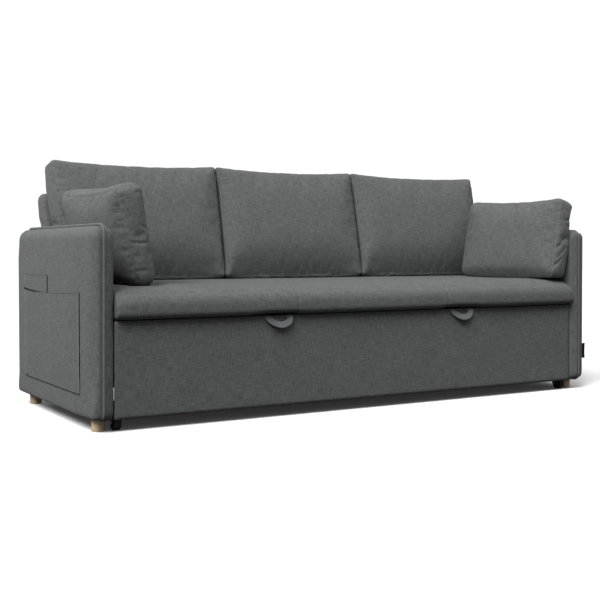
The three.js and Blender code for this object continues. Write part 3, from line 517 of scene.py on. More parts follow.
def arm_pad(side):
    node = "arm_pad_" + SIDE[side]
    centre, half = centre_and_half(node)
    # the cloth runs on to the piping
    half = half + np.array([(EDGE_SHIFT[side] + PAD_BULGE) / 2, 0.002, 0.004])
    centre[0] -= side * (EDGE_SHIFT[side] - PAD_BULGE) / 2
    centre[2] -= 0.002

    def shape(units):
        full = units * half
        from_front, from_rear = full[:, 1] + half[1], half[1] - full[:, 1]
        above, below = full[:, 2] + half[2], half[2] - full[:, 2]
        # the softer the edge, the wider it is rounded
        soft = np.maximum(ease((from_rear - 0.03) / 0.10), ease((0.12 - below) / 0.08))
        soft *= ease((above - 0.03) / 0.10)
        soft *= ease(from_front / 0.10) if side > 0 else 1
        firm = np.maximum(ease((above - 0.02) / 0.06), (side > 0) * (1 - ease(from_front / 0.20)))
        nose = (side < 0) * ease((0.14 - below) / 0.10) * (1 - ease(from_front / 0.14))
        radius = (0.012 + 0.012 * firm + 0.016 * np.maximum(soft, 0.9 * nose))[:, None]
        inner = np.clip(full, radius - half, half - radius)
        inner[:, 0] = np.where(full[:, 0] * side > 0, side * (half[0] - radius[:, 0]), full[:, 0])
        out = full - inner
        length = np.linalg.norm(out, axis=1, keepdims=True)
        points = inner + out * radius / np.maximum(length, TINY)
        outer = ease((side * full[:, 0] / half[0] + 1) / 2)
        points[:, 0] -= side * outer * pad_sink(full + centre, side)
        return points + centre

    piece = boxed("arm_cushioning_" + SIDE[side], half, 0.012, shape)
    return dress(finer(piece), CLOTH, node, fill=0.9)


for side in (-1, 1):
    arm_slab(side)
    arm_pad(side)


# Piping round the outer face of each arm
PIPING_STEP = 0.012  # between its rings
PIPING_TURNS = {  # radii at the rear top, front top, front bottom and rear bottom
    -1: (0.0265, 0.0410, 0.0265, 0.0265),
    1: (0.0265, 0.0300, 0.0265, 0.0265),
}


def round_path(low, high, radii, steps):
    """Points round a rectangle with a radius for each corner, each point with its outward direction."""
    found = []
    corners = [(high[0], high[1]), (low[0], high[1]), (low[0], low[1]), (high[0], low[1])]
    for quarter, (a, b) in enumerate(corners):
        radius = radii[quarter]
        ca = a - math.copysign(radius, a - (low[0] + high[0]) / 2)
        cb = b - math.copysign(radius, b - (low[1] + high[1]) / 2)
        for i in range(steps + 1):
            angle = (quarter + i / steps) * math.pi / 2
            out = (math.cos(angle), math.sin(angle))
            found.append((ca + radius * out[0], cb + radius * out[1], *out))
    dense = []
    for i, (a, b, oa, ob) in enumerate(found):
        na, nb, noa, nob = found[(i + 1) % len(found)]
        parts = max(1, int(math.hypot(na - a, nb - b) / PIPING_STEP))
        for k in range(parts):
            t = k / parts
            dense.append((a + (na - a) * t, b + (nb - b) * t, oa + (noa - oa) * t, ob + (nob - ob) * t))
    return np.array(dense)


def tube(name, centres, sideways, upward, radius, around):
    """A closed tube round a loop of centres."""
    count = len(centres)
    angle = (np.arange(around) * 2 * np.pi / around)[None, :, None]
    ring = np.cos(angle) * sideways[:, None, :] + np.sin(angle) * upward[:, None, :]
    points = centres[:, None, :] + ring * radius
    uv = []
    along = np.concatenate([[0], np.cumsum(np.linalg.norm(np.diff(centres, axis=0), axis=1))])
    along = np.append(along, along[-1] + np.linalg.norm(centres[0] - centres[-1]))
    girth = 2 * np.pi * radius / around
    for i in range(count):
        for k in range(around):
            here, there = along[i], along[i + 1]
            uv += [(here, k * girth), (here, (k + 1) * girth), (there, (k + 1) * girth), (there, k * girth)]
    return make(name, points.reshape(-1, 3), ring_faces(count, around, closed=True), uv)


def arm_piping(side):
    node = "arm_welt_" + SIDE[side]
    centre, half = centre_and_half(node)
    radius = half[0]
    reach = half[1:] - radius + 0.001
    path = round_path(centre[1:] - reach, centre[1:] + reach, PIPING_TURNS[side], 8)
    x = centre[0] - side * (EDGE_SHIFT[side] + 0.0012)
    centres = np.stack([np.full(len(path), x), path[:, 0], path[:, 1]], 1)
    out = np.stack([np.zeros(len(path)), path[:, 2], path[:, 3]], 1)
    across = np.tile([[float(side), 0.0, 0.0]], (len(path), 1))
    piece = tube("arm_piping_" + SIDE[side], centres, out * side, across, radius * 1.1, 12)
    dress(piece, PIPING, node)


for side in (-1, 1):
    arm_piping(side)


# Stuffed pieces
HOLLOWS = ((-0.825, -0.11, 0.010), (0.825, -0.16, 0.003))  # x, y and depth under each arm pillow


def hollow(points):
    """How far the seat gives way under the two arm pillows."""
    found = np.zeros(len(points))
    for x, y, deep in HOLLOWS:
        found += deep * np.exp(-(((points[:, 0] - x) / 0.075) ** 4) - ((points[:, 1] - y) / 0.20) ** 4)
    return found


def stuffed(name, half, boxing, step, radius, corners, crown, belly, dip, tuck, cap, grow, folds, seed):
    """A boxed cushion in its own frame, its front towards -Y. Its seams are held and the rest is blown up.
    Then come the seams' grooves and the short folds at them; folds gives their depth, spacing and length."""
    half = np.array(half)

    def shape(units):
        u, v, w = units.T
        x, z = u * half[0], w * half[2]
        depth = v * boxing
        ring = np.minimum(half[0] - np.abs(x), half[2] - np.abs(z))
        a = np.clip(radius - ring, 0, None)
        b = np.clip(np.abs(depth) - boxing + radius, 0, None)
        fit = np.maximum(a, b) / np.maximum(np.hypot(a, b), TINY)
        to = np.where(a * b > 0, radius - a * fit, ring)
        depth = np.where(a * b > 0, np.sign(depth) * (boxing - radius + b * fit), depth)
        x = x * (half[0] - to) / np.maximum(half[0] - ring, TINY)
        z = z * (half[2] - to) / np.maximum(half[2] - ring, TINY)
        points = np.stack([x, depth, z], 1)
        for sx, sz, corner in zip((-1, 1, -1, 1), (1, 1, -1, -1), corners):
            centre = (sx * (half[0] - corner), sz * (half[2] - corner))
            points = round_corner(points, 0, 2, (sx * half[0], sz * half[2]), centre)
        broad = np.abs(v) > 0.999
        points[:, 1] += np.sign(v) * broad * crown * ((1 - u**2) * (1 - w**2)) ** 0.6
        points[:, 0] += np.sign(u) * (np.abs(u) > 0.999) * belly * ((1 - v**2) * (1 - w**4)) ** 0.5
        points[:, 2] += np.sign(w) * (np.abs(w) > 0.999) * belly * ((1 - v**2) * (1 - u**4)) ** 0.5
        points[:, 2] -= dip * (1 - np.abs(u) ** 2.5) * ease((w - 0.2) / 0.8)
        points[:, 1] += tuck * (v < 0) * -v * ease((-w - 0.45) / 0.55) ** 1.5 * (1 - 0.8 * np.abs(u) ** 8)
        return points

    piece = boxed(name, half, step, shape)
    u, v, w = places_of(piece.data).T
    seam = ((np.abs(v) > 0.999) & (np.maximum(np.abs(u), np.abs(w)) > 0.999)).astype(float)
    puff(piece, cap, grow, seam)
    finer(piece)
    u, v, w = places_of(piece.data).T
    to_side, to_end = (1 - np.abs(u)) * half[0], (1 - np.abs(w)) * half[2]
    on_boxing = np.maximum(np.abs(u), np.abs(w)) > 0.995
    upright = np.where(on_boxing, np.abs(u) > np.abs(w), to_side < to_end)
    away = np.where(on_boxing, (1 - np.abs(v)) * boxing, np.minimum(to_side, to_end))
    along = np.where(upright, w * half[2] + np.sign(u) * 3, u * half[0] + np.sign(w) * 7)
    which = np.sign(v) * 2.0 + on_boxing  # tells the panels on the two sides of a seam apart
    line = np.stack([along / folds[1], which, np.full(len(u), float(seed))], 1)
    crease = np.exp(-((wave(line, 1.0, seed) / 0.16) ** 2))
    strength = 0.6 + 0.9 * wave(line, 3.1, seed + 5)
    strength *= np.where(upright, 1, np.where(w > 0, 0.3, 0.8))
    depth = folds[0] * strength * crease * np.exp(-away / folds[2]) * (1 - np.exp(-away / 0.004))
    depth += 0.0022 * np.exp(-((away / 0.0045) ** 2)) * np.where(upright, 1, np.where(w > 0, 0.6, 0.0))
    points = points_of(piece.data)
    set_points(piece, points - outward(piece) * depth[:, None])
    return piece


def fold_in(piece, front, lines):
    """Presses short folds into the end that faces the front; each line is (x, z, x, z, depth)."""
    points = points_of(piece.data)
    depth = np.zeros(len(points))
    for ax, az, bx, bz, deep in lines:
        start, run = np.array([ax, az]), np.array([bx - ax, bz - az])
        at = points[:, [0, 2]] - start
        part = np.clip(at @ run / (run @ run), 0, 1)
        away = np.linalg.norm(at - part[:, None] * run, axis=1)
        fade = 0.5 + 0.5 * np.sin(np.pi * np.clip(part, 0.02, 0.98))
        depth += deep * np.exp(-((away / 0.0055) ** 2)) * fade
    depth *= 1 - ease((points[:, 1] - front) / 0.03)
    set_points(piece, points - outward(piece) * depth[:, None])


def moved(piece, matrix):
    """Puts the mesh itself in its place and gives back its points."""
    piece.data.transform(matrix)
    return points_of(piece.data)


CUSHION_HALF = (0.3265, 0.080, 0.226)
CUSHION_LEAN = math.radians(12.5)
CUSHION_PLACE = (0.240, 0.6815)  # Y and Z of its middle
CUSHION_REACH = 0.3282  # half the room between two gaps
BACKREST_FRONT = (0.2266, 0.320)  # Y and Z of a point on its leaning front
GAP_SHIFT = (  # X before and after, which moves the gaps between the cushions
    [-1.2, -1.0, -0.3286, 0.3286, 1.0, 1.2],
    [-1.2, -1.0, -0.3126, 0.3376, 1.0, 1.2],
)


def back_cushion(side, seed):
    node = "back_cushion_" + side
    low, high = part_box(node)
    piece = stuffed(
        "back_cushion_cover_" + side,
        CUSHION_HALF,
        boxing=0.056,
        step=0.010,
        radius=0.026,
        corners=(0.014 if side == "left" else 0.008, 0.016 if side == "right" else 0.008, 0.012, 0.012),
        crown=0.010,
        belly=0.004,
        dip=0.015,
        tuck=0.027,
        cap=0.018,
        grow=0.006,
        folds=(0.0042, 0.022, 0.018),
        seed=seed,
    )
    middle = (low.x + high.x) / 2
    lean = Matrix.Rotation(-CUSHION_LEAN, 4, "X")
    points = moved(piece, Matrix.Translation((middle, *CUSHION_PLACE)) @ lean)
    # held back by the seat, the backrest, the arms and the cushions beside it
    points[:, 2] = np.maximum(points[:, 2], SEAT_TOP)
    behind = (points[:, 1] - BACKREST_FRONT[0]) - (points[:, 2] - BACKREST_FRONT[1]) * math.tan(LEAN)
    points[:, 1] -= np.maximum(behind, 0)
    height = ease((points[:, 2] - ARM_TOP - 0.008) / 0.06)
    end = {"left": -1, "middle": 0, "right": 1}[side]
    from_middle = ease((points[:, 0] - middle) * end / CUSHION_HALF[0])
    points[:, 0] += (-0.003 if end < 0 else 0.029) * height * from_middle * abs(end)
    apart = CUSHION_REACH - 0.004 * ease((0.88 - points[:, 2]) / 0.08) * ease((points[:, 2] - 0.48) / 0.10)
    left = np.where(end < 0, -INNER - 0.03 * height, middle - apart)
    right = np.where(end > 0, INNER + 0.035 * height, middle + apart)
    points[:, 0] = np.clip(points[:, 0], left, right)
    low_down = 1 - ease((points[:, 2] - ARM_TOP) / 0.16)
    points[:, 0] += 0.012 * low_down * from_middle * (end < 0)
    points[:, 0] = np.interp(points[:, 0], *GAP_SHIFT)
    set_points(piece, points)
    dress(piece, CLOTH, node, fill=0.75)


for seed, side in enumerate(("left", "middle", "right"), 1):
    back_cushion(side, seed)

PILLOW_SLOPE = 0.17  # of the left pillow's rear end, which follows the back cushion beside it
PILLOW_REAR = 0.1290  # where that end meets the seat
PILLOW_FOLDS = {  # short folds in the front ends as lines of x, z, x, z and depth
    -1: (
        (-0.8709, 0.5968, -0.8252, 0.5970, 0.0050),
        (-0.8978, 0.5615, -0.8709, 0.5582, 0.0035),
        (-0.9494, 0.7515, -0.9391, 0.7584, 0.0035),
        (-0.8646, 0.7628, -0.8520, 0.7708, 0.0045),
        (-0.9425, 0.7139, -0.9240, 0.7163, 0.0030),
        (-0.8506, 0.6567, -0.8223, 0.6438, 0.0035),
        (-0.8716, 0.5031, -0.8294, 0.5060, 0.0035),
    ),
    1: (
        (0.9332, 0.6108, 0.9677, 0.6238, 0.0050),
        (0.9029, 0.5833, 0.9388, 0.6039, 0.0035),
        (0.9062, 0.5440, 0.9637, 0.5912, 0.0035),
        (0.8745, 0.4972, 0.9281, 0.5386, 0.0045),
        (0.9496, 0.6961, 0.9860, 0.6979, 0.0050),
        (0.9603, 0.6806, 0.9820, 0.6648, 0.0035),
        (0.9102, 0.7552, 0.9242, 0.7597, 0.0045),
    ),
}


def arm_pillow(side, x, y, turn, tilt, half_long, half_tall, boxing, radius, front_corner):
    node = "arm_pillow_" + SIDE[side]
    piece = stuffed(
        "arm_pillow_cover_" + SIDE[side],
        (half_long, 0.062, half_tall),
        boxing=boxing,
        step=0.008,
        radius=radius,
        corners=(front_corner, 0.030, 0.036, 0.036),
        crown=0.008,
        belly=0.012,
        dip=0.018,
        tuck=0.0,
        cap=0.016,
        grow=0.012,
        folds=(0.0032, 0.026, 0.016),
        seed=11 + side,
    )
    lean = Matrix.Rotation(math.radians(turn), 4, "Z") @ Matrix.Rotation(side * math.radians(tilt), 4, "Y")
    up = Matrix.Translation((0, 0, half_tall - 0.004)) @ Matrix.Rotation(math.pi / 2, 4, "Z")
    points = points_of(piece.data)
    height = points[:, 2] / half_tall
    points[:, 1] *= (1 + 0.12 * height) * (1 - 0.45 * np.clip((-height - 0.70) / 0.30, 0, 1) ** 2)
    set_points(piece, points)
    points = moved(piece, Matrix.Translation((x, y, 0.4523)) @ lean @ up)
    points[:, 2] = np.maximum(points[:, 2], SEAT_TOP + 0.0004 - hollow(points))
    if side < 0:
        # its rear end gives way to the back cushion and follows that cushion's lean
        back = ease((points[:, 1] - y) / 0.20)
        points[:, 1] += back * PILLOW_SLOPE * (points[:, 2] - SEAT_TOP)
        limit = PILLOW_REAR + PILLOW_SLOPE * (points[:, 2] - SEAT_TOP)
        points[:, 1] = np.minimum(points[:, 1], limit)
    low_enough = 1 - np.clip((points[:, 2] - ARM_TOP + 0.002) / 0.13, 0, 1)
    beside = np.maximum(np.abs(points[:, 0]) - INNER, 0) * low_enough
    points[:, 0] -= np.sign(points[:, 0]) * beside
    if side < 0:
        # its foot stands away from the arm
        outer = ease((-INNER + 0.09 - points[:, 0]) / 0.07)
        points[:, 0] += 0.020 * outer * ease((0.66 - points[:, 2]) / 0.16)
    set_points(piece, points)
    fold_in(piece, points[:, 1].min(), PILLOW_FOLDS[side])
    dress(piece, CLOTH, node, fill=0.8)


arm_pillow(-1, -0.8370, -0.062, 5, 12, 0.214, 0.175, boxing=0.047, radius=0.022, front_corner=0.028)
arm_pillow(1, 0.8790, -0.170, 9, 13, 0.240, 0.169, boxing=0.0535, radius=0.017, front_corner=0.020)


# Seat cushion
SEAT_SEAMS = (-0.32817, 0.32817)
SEAT_SWELL = 0.013  # how far its front stands out
LOOP_X = 0.402  # how far from the middle the pull loops are


def seat():
    centre, half = centre_and_half("seat_cushion")
    front = centre[1] - half[1]
    bottom, top = centre[2] - half[2], centre[2] + half[2]
    turn, tuck = 0.060, 0.012
    rows = [seam + aside for seam in SEAT_SEAMS for aside in (-0.0045, 0.0, 0.0045)]

    def shape(units):
        points = rounded(units, half, 0.006)
        points = round_corner(points, 1, 2, (-half[1], half[2]), (turn - half[1], half[2] - turn))
        points = round_corner(points, 1, 2, (-half[1], -half[2]), (tuck - half[1], tuck - half[2]))
        points += centre
        from_front = points[:, 1] - front
        from_end = half[0] - np.abs(points[:, 0])
        up = (points[:, 2] - bottom) / (top - bottom)
        swell = (1 - np.abs(2 * up - 0.9) ** 4).clip(0) ** 0.5 * (1 - ease(from_front / 0.06))
        swell *= 0.75 + 0.25 * ease(up / 0.12)
        points[:, 1] -= SEAT_SWELL * swell * (0.85 + 0.15 * ease(from_end / 0.05))
        at_end = (from_front < 0.004) * (1 - ease(from_end / 0.02))
        points[:, 0] += np.sign(points[:, 0]) * 0.005 * swell * at_end
        points[:, 2] -= up * (0.011 * (1 - ease(from_front / 0.16)) + 0.006 * (1 - ease(from_end / 0.06)))
        # room under its front edge for the pull loops when they are swung up
        room = np.exp(-(((np.abs(points[:, 0]) - LOOP_X) / 0.085) ** 6))
        room *= 1 - ease((from_front - 0.024) / 0.016)
        points[:, 2] += 0.0062 * room * (1 - ease(up / 0.25))
        return points

    piece = finer(boxed("seat_cushion_cover", half, 0.014, shape, seams={0: rows}))
    points = points_of(piece.data)
    depth = np.zeros(len(points))
    on_front = 1 - ease((points[:, 1] - front - 0.03) / 0.02)
    for seam in SEAT_SEAMS:
        away = np.abs(points[:, 0] - seam)
        folds = np.exp(-((wave(points, 0.016, 21, (2,)) / 0.25) ** 2))
        groove = 0.0036 * np.exp(-((away / 0.0026) ** 2))
        depth += on_front * (groove + 0.0024 * folds * np.exp(-away / 0.012))
    for end in (-half[0], half[0]):
        away = np.abs(points[:, 0] - end)
        folds = np.exp(-((wave(points, 0.03, 24, (1, 2)) / 0.2) ** 2))
        depth += on_front * 0.0022 * folds * np.exp(-away / 0.02) * (away > 0.004)
    points -= outward(piece) * depth[:, None]
    on_top = ease((points[:, 2] - 0.42) / 0.02)
    points[:, 2] += on_top * (0.0016 * wave(points, 0.25, 3, (0, 1)) - hollow(points))
    set_points(piece, points)
    return dress(piece, CLOTH, "seat_cushion", fill=0.9)


seat()


# Front panel, apron, backrest
PANEL_WAVE = 0.0012  # how far the cloth of panel and apron goes in and out
BACKREST_HALF = (0.0375, 0.264)  # half its thickness and half its height along its lean
BACKREST_TURN = 0.024
BACKREST_TOP = (0.853 - 0.423053 - 0.012 * math.tan(LEAN), 0.775)  # Y and Z of its rear top edge


def upholstered(name, node, radius, step):
    centre, half = centre_and_half(node)

    def shape(units):
        return rounded(units, half, radius) + centre

    piece = boxed(name, half, step, shape)
    points = points_of(piece.data)
    level = 1 - ease((np.abs(points[:, 2] - centre[2]) - half[2] + 0.03) / 0.02)
    points += outward(piece) * (PANEL_WAVE * level * wave(points, 0.16, 5))[:, None]
    set_points(piece, points)
    return dress(piece, CLOTH, node, fill=0.95)


upholstered("front_panel_cover", "front_panel", 0.004, 0.012)
upholstered("rear_apron_cover", "rear_apron", 0.006, 0.014)


def backrest():
    low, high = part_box("backrest")
    half = ((high.x - low.x) / 2, *BACKREST_HALF)

    def shape(units):
        points = rounded(units, half, 0.012)
        for sign in (-1, 1):
            centre = (sign * (half[1] - BACKREST_TURN), half[2] - BACKREST_TURN)
            points = round_corner(points, 1, 2, (sign * half[1], half[2]), centre)
        return points

    piece = boxed("backrest_cover", half, 0.014, shape)
    points = points_of(piece.data)
    across = np.array([0, math.cos(LEAN), -math.sin(LEAN)])
    along = np.array([0, math.sin(LEAN), math.cos(LEAN)])
    centre = np.array([0, *BACKREST_TOP]) - across * half[1] - along * half[2]
    sideways = np.array([1, 0, 0])
    points = points[:, :1] * sideways + points[:, 1:2] * across + points[:, 2:] * along + centre
    points[:, 0] += np.sign(points[:, 0]) * 0.005 * ease((points[:, 2] - ARM_TOP - 0.01) / 0.03)
    under = np.maximum(low.z - points[:, 2], 0)
    points[:, 2] += under  # its foot is cut level
    points[:, 1] += under * math.tan(LEAN)
    set_points(piece, points)
    return dress(piece, CLOTH, "backrest", fill=0.9)


backrest()


# Mattress
QUILT = 0.125  # between the quilting lines
MATTRESS_TURN = 0.044


def mattress():
    centre, half = centre_and_half("bed_mattress")

    def shape(units):
        points = rounded(units, half, 0.022)
        for x in (-1, 1):
            for y in (-1, 1):
                centre_of_turn = (x * (half[0] - MATTRESS_TURN), y * (half[1] - MATTRESS_TURN))
                points = round_corner(points, 0, 1, (x * half[0], y * half[1]), centre_of_turn)
        return points + centre

    piece = finer(boxed("mattress_cover", half, 0.022, shape))
    points, facing = points_of(piece.data), outward(piece)
    line = [np.abs((points[:, 0] + sign * points[:, 1]) / QUILT % 1 - 0.5) * QUILT for sign in (-1, 1)]
    stitched = np.maximum(np.exp(-((line[0] / 0.006) ** 2)), np.exp(-((line[1] / 0.006) ** 2)))
    level = np.abs(facing[:, 2]) > 0.9
    band = np.exp(-(((np.abs(points[:, 2] - centre[2]) - half[2] + 0.018) / 0.004) ** 2)) * ~level
    set_points(piece, points - facing * (0.003 * stitched * level + 0.0025 * band)[:, None])
    return dress(piece, TICKING, "bed_mattress", fill=0.85)


mattress()


# Pull loops: webbing sewn to the top of the panel that swings out in a bight
STRAP_PATH = np.array([
    (-0.0600, 0.0012, 0.0180),
    (-0.0455, 0.0014, 0.0040),
    (-0.0250, 0.0075, -0.0175),
    (0.0060, 0.0135, -0.0310),
    (0.0350, 0.0130, -0.0245),
    (0.0460, 0.0080, -0.0095),
    (0.0400, 0.0022, -0.0005),
    (0.0285, 0.0014, 0.0015),
    (0.0180, 0.0012, 0.0020),
])  # along X, out from the panel, and up, from the middle of the panel's top edge
STRAP_HALF, STRAP_THICK = 0.0118, 0.0013  # half its width and half its thickness
STRAP_LIFT = 0.42  # how far its bight turns its broad side up
STRAP_SECTION = np.array([
    (-1, -0.6), (-0.96, 1), (-0.5, 0.8), (0, 1), (0.5, 0.8), (0.96, 1), (1, -0.6), (0.5, -1), (-0.5, -1),
])


def curve(path, parts):
    """A smooth curve through the inner points of a path, as points and directions."""
    found = []
    for i in range(1, len(path) - 2):
        p0, p1, p2, p3 = path[i - 1 : i + 3]
        for k in range(parts + (i == len(path) - 3)):
            t = k / parts
            square = (2 * p0 - 5 * p1 + 4 * p2 - p3) * t**2
            cube = (3 * p1 - p0 - 3 * p2 + p3) * t**3
            found.append(0.5 * (2 * p1 + (p2 - p0) * t + square + cube))
    found = np.array(found)
    ahead = np.gradient(found, axis=0)
    return found, ahead / np.linalg.norm(ahead, axis=1, keepdims=True)


def pull_loop(side):
    node = "pull_loop_" + SIDE[side]
    low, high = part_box(node)
    origin = np.array([(low.x + high.x) / 2 + 0.002, high.y, high.z])
    places, ahead = curve(STRAP_PATH * np.array([1, -1, 1]), 8)
    inner = np.stack([-ahead[:, 2], np.zeros(len(ahead)), ahead[:, 0]], 1)
    swung = np.sin(np.linspace(0, np.pi, len(ahead)))[:, None]
    wide = inner + np.array([0, STRAP_LIFT, 0]) * swung
    wide -= ahead * (wide * ahead).sum(1, keepdims=True)
    wide /= np.linalg.norm(wide, axis=1, keepdims=True)
    thick = np.cross(ahead, wide)
    across = STRAP_SECTION
    offset = across[:, :1] * STRAP_HALF * wide[:, None] + across[:, 1:] * STRAP_THICK * thick[:, None]
    points = origin + places[:, None] + offset
    points[:, :, 1] = np.minimum(points[:, :, 1], high.y - 0.0002)
    points[:, :, 2] = np.minimum(points[:, :, 2], high.z + 0.0004)
    count, ring = len(places), len(across)
    length = np.concatenate([[0], np.cumsum(np.linalg.norm(np.diff(places, axis=0), axis=1))])
    faces, uv = ring_faces(count, ring), []
    for i in range(count - 1):
        for k in range(ring):
            w0, w1 = across[k, 0] * STRAP_HALF, across[(k + 1) % ring, 0] * STRAP_HALF
            uv += [(w0, length[i]), (w1, length[i]), (w1, length[i + 1]), (w0, length[i + 1])]
    for start, order in ((0, -1), ((count - 1) * ring, 1)):
        faces.append([start + k for k in range(ring)][::order])
        uv += [tuple(across[k] * STRAP_HALF) for k in range(ring)][::order]
    piece = finer(make("pull_strap_" + SIDE[side], points.reshape(-1, 3), faces, uv))
    dress(piece, WEBBING, node)


for side in (-1, 1):
    pull_loop(side)


# Front ends of the guide tracks, in the gaps beside the panel
LIP_X = 0.9866
LIP_BACK = {-1: 0.0005, 1: 0.0090}  # how far each goes back over its track


def track_lip(side):
    low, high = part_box("guide_track_" + SIDE[side])
    half = np.array([0.0012, 0.0125, (high.z - low.z) / 2 - 0.001])
    centre = np.array([side * LIP_X, low.y - half[1] + LIP_BACK[side], (low.z + high.z) / 2])

    def shape(units):
        return rounded(units, half, 0.0008) + centre

    piece = boxed("track_lip_" + SIDE[side], half, 0.004, shape)
    dress(piece, ZINC, body="root", slot="bright_steel")


for side in (-1, 1):
    track_lip(side)


# Pockets on the left arm: cloth sewn on at the sides and the bottom
POCKET_HEM = 0.0035  # how far the sewn edges stand out
POCKET_CLOTH = 0.0018  # how thick the cloth is at the open top
RIM_SEAM = 0.012  # how far below the top its seam is
RIM_GROOVE = 0.0005  # how deep that seam lies


def pocket(node, name, gape, sag, slit, crease=None):
    """A pocket whose middle stands out by gape and sags at the top, whose rear top stands off by slit,
    and which has a soft step at crease, from -1 at the front to 1 at the rear."""
    low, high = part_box(node)
    pad = high.x - PAD_BULGE
    wide, tall = (high.y - low.y) / 2, (high.z - low.z) / 2
    half = (0.0008, wide, tall)

    def shape(units):
        v, w = units[:, 1], units[:, 2]
        up = (w + 1) / 2
        bow = (1 - np.abs(v) ** 2.4) * ease(up / 0.9) ** 0.8
        hem = POCKET_HEM * (0.6 + 0.4 * ease(up * 4)) * (1 - 0.65 * ease((v - 0.8) / 0.2))
        out = hem + gape * bow
        open_rear = ease((v - 0.1) / 0.4) * ease((up - 0.7) / 0.25)
        out = out + slit * open_rear
        if crease is not None:
            out = out + 0.0028 * np.tanh((crease - v) / 0.035) * ease(up * 3) * (1 - v**2)
        below_top = (1 - up) * 2 * tall
        out -= RIM_GROOVE * np.exp(-(((below_top - RIM_SEAM) / 0.002) ** 2))
        behind = np.where(bow > 0, out - POCKET_CLOTH, 0)
        behind = behind * ease((up - 0.8) / 0.15) * ease((1 - np.abs(v)) / 0.04)
        points = np.zeros_like(units)
        points[:, 1] = (low.y + high.y) / 2 + v * wide - 0.007 * (1 - v) / 2
        points[:, 2] = low.z + up * (high.z - low.z) - sag * (1 - v**2) * ease((up - 0.6) / 0.4)
        # a slanted rim
        points[:, 2] -= np.where((units[:, 0] < 0) & (w > 0.999), 0.0012 + slit * open_rear, 0)
        surface = pad + pad_sink(points, -1)
        points[:, 0] = surface - np.where(units[:, 0] > 0, 0.0003 + np.maximum(behind, 0), out)
        return points

    piece = boxed(name, half, 0.008, shape, seams={2: (tall - RIM_SEAM, 0.005 - tall)})
    dress(piece, CLOTH, node)
    # the front edges, rims and bottom rows take the near-black painted shade of the gaps along them
    piece.data.materials.append(GAP_SHADE_CLOTH)
    v, w = places_of(piece.data)[:, 1:].T
    for face in piece.data.polygons:
        corners = list(face.vertices)
        front_edge, rim = v[corners].max() < -0.999, w[corners].min() > 0.999
        face.material_index = int(front_edge or rim or w[corners].max() * tall < 0.0035 - tall)
    return piece


pocket("pocket_large", "pocket_large_cloth", gape=0.0060, sag=0.010, slit=0.0030, crease=-0.05)
pocket("pocket_small", "pocket_small_cloth", gape=0.0024, sag=0.002, slit=0.0)


# Blank tab on the right arm
TAB_FORWARD = 0.014  # how far it stands before its solid
TAB_TURN = 0.008  # how far its outer end turns to the front


def tab():
    centre, half = centre_and_half("side_tab")

    def shape(units):
        points = units * half + centre
        outward_part = (units[:, 0] + 1) / 2
        points[:, 0] += 0.0050 * outward_part - 0.0010
        ripple = 0.0010 * np.sin((units[:, 2] + 1) * 2) * outward_part
        points[:, 1] += ripple - TAB_FORWARD - TAB_TURN * outward_part**1.3
        return points

    return dress(boxed("side_tab_cloth", half, 0.002, shape), BLACK_CLOTH, "side_tab")


tab()


# Feet, turned from one piece of wood
def turned(name, node, profile, centre, material):
    """A profile of (radius, height) turned about an upright axis through centre."""
    sides = 48
    angle = np.arange(sides) * 2 * np.pi / sides
    ring = np.stack([np.cos(angle), np.sin(angle)], 1)
    points = [np.array((a, b, h)) + centre for r, h in profile for a, b in ring * r]
    last = (len(profile) - 1) * sides
    ends = [list(range(sides))[::-1], list(range(last, last + sides))]
    return dress(make(name, points, ring_faces(len(profile), sides) + ends), material, node)


FOOT_PROFILE = [
    (0.0185, 0.0), (0.0192, 0.0001), (0.0199, 0.0005), (0.0204, 0.0012), (0.0206, 0.0020),
    (0.0209, 0.0120), (0.0219, 0.0366), (0.0217, 0.0376),
]
for node in [n for n in frame["nodes"] if n.startswith("foot_") and "stud" not in n]:
    low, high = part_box(node)
    on_floor = np.array([(low.x + high.x) / 2, (low.y + high.y) / 2, 0])
    turned("wood_" + node, node, FOOT_PROFILE, on_floor, OAK)


# Camera, as fitted to the photograph
camera = bpy.data.objects.new("camera", bpy.data.cameras.new("camera"))
camera.location = (-2.1105, -3.4379, 0.5696)
camera.rotation_euler = (math.radians(90), 0, math.radians(-30.75))
camera.data.lens = 60.83
camera.data.sensor_width = 36
camera.data.shift_y = -0.0811
scene.collection.objects.link(camera)
scene.camera = camera


# Studio
key = bpy.data.lights.new("key", "SUN")
key.energy = 3.85
key.angle = math.radians(35)
key_place = bpy.data.objects.new("key", key)
key_place.rotation_euler = Vector((-0.60, -0.35, 0.78)).to_track_quat("Z", "Y").to_euler()
scene.collection.objects.link(key_place)


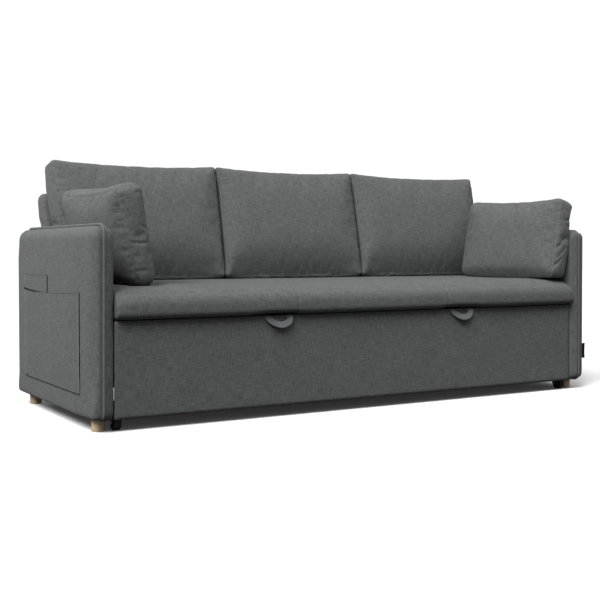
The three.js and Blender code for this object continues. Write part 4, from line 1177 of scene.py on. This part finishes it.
def softbox(name, place, aim, wide, deep, watts):
    lamp = bpy.data.lights.new(name, "AREA")
    lamp.shape, lamp.size, lamp.size_y, lamp.energy = "RECTANGLE", wide, deep, watts
    stand = bpy.data.objects.new(name, lamp)
    stand.location = place
    stand.rotation_euler = (Vector(place) - Vector(aim)).to_track_quat("Z", "Y").to_euler()
    stand.visible_camera = False
    scene.collection.objects.link(stand)


softbox("softbox_top", (0.2, -1.4, 2.3), (0.0, 0.0, 0.5), 3.0, 1.2, 30.0)
softbox("softbox_left", (-2.2, 0.1, 1.5), (-1.08, 0.1, 0.5), 1.2, 1.2, 17.0)
world = bpy.data.worlds.new("studio")
world.use_nodes = True
fill_in(world.node_tree.nodes["Background"], Color=(1, 1, 1, 1), Strength=0.42)
scene.world = world
scene.view_settings.view_transform = "Standard"

FLOOR_HALF = 30
BACKDROP_RADIUS = 28


def floor_sheet(name, height, shade):
    corners = [(x * FLOOR_HALF, y * FLOOR_HALF, height) for x, y in ((-1, -1), (1, -1), (1, 1), (-1, 1))]
    sheet = make(name, corners, [(0, 1, 2, 3)])
    material, _, surface = shader(name)
    fill_in(surface, Base_Color=(shade, shade, shade, 1), Roughness=0.9, Specular_IOR_Level=0.0)
    sheet.data.materials.append(material)
    sheet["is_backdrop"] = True
    return sheet


seen = floor_sheet("floor_seen", 0.0, 0.85)
seen.visible_diffuse = seen.visible_glossy = seen.visible_shadow = False
seen_surface = seen.data.materials[0].node_tree.nodes["Principled BSDF"]
fill_in(seen_surface, Emission_Color=(1, 1, 1, 1), Emission_Strength=0.020)
floor_sheet("floor_bounce", -0.001, 0.06).visible_camera = False

units, quads, _ = lattice(12, 12, 12)
ball = units / np.linalg.norm(units, axis=1, keepdims=True) * BACKDROP_RADIUS
shell = make("backdrop", ball, quads[:, ::-1])
material, _, surface = shader("backdrop_white")
fill_in(surface, Base_Color=(0, 0, 0, 1), Emission_Color=(1, 1, 1, 1), Emission_Strength=1.0)
shell.data.materials.append(material)
shell.visible_diffuse = shell.visible_glossy = shell.visible_shadow = shell.visible_transmission = False
shell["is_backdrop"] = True

low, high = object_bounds()
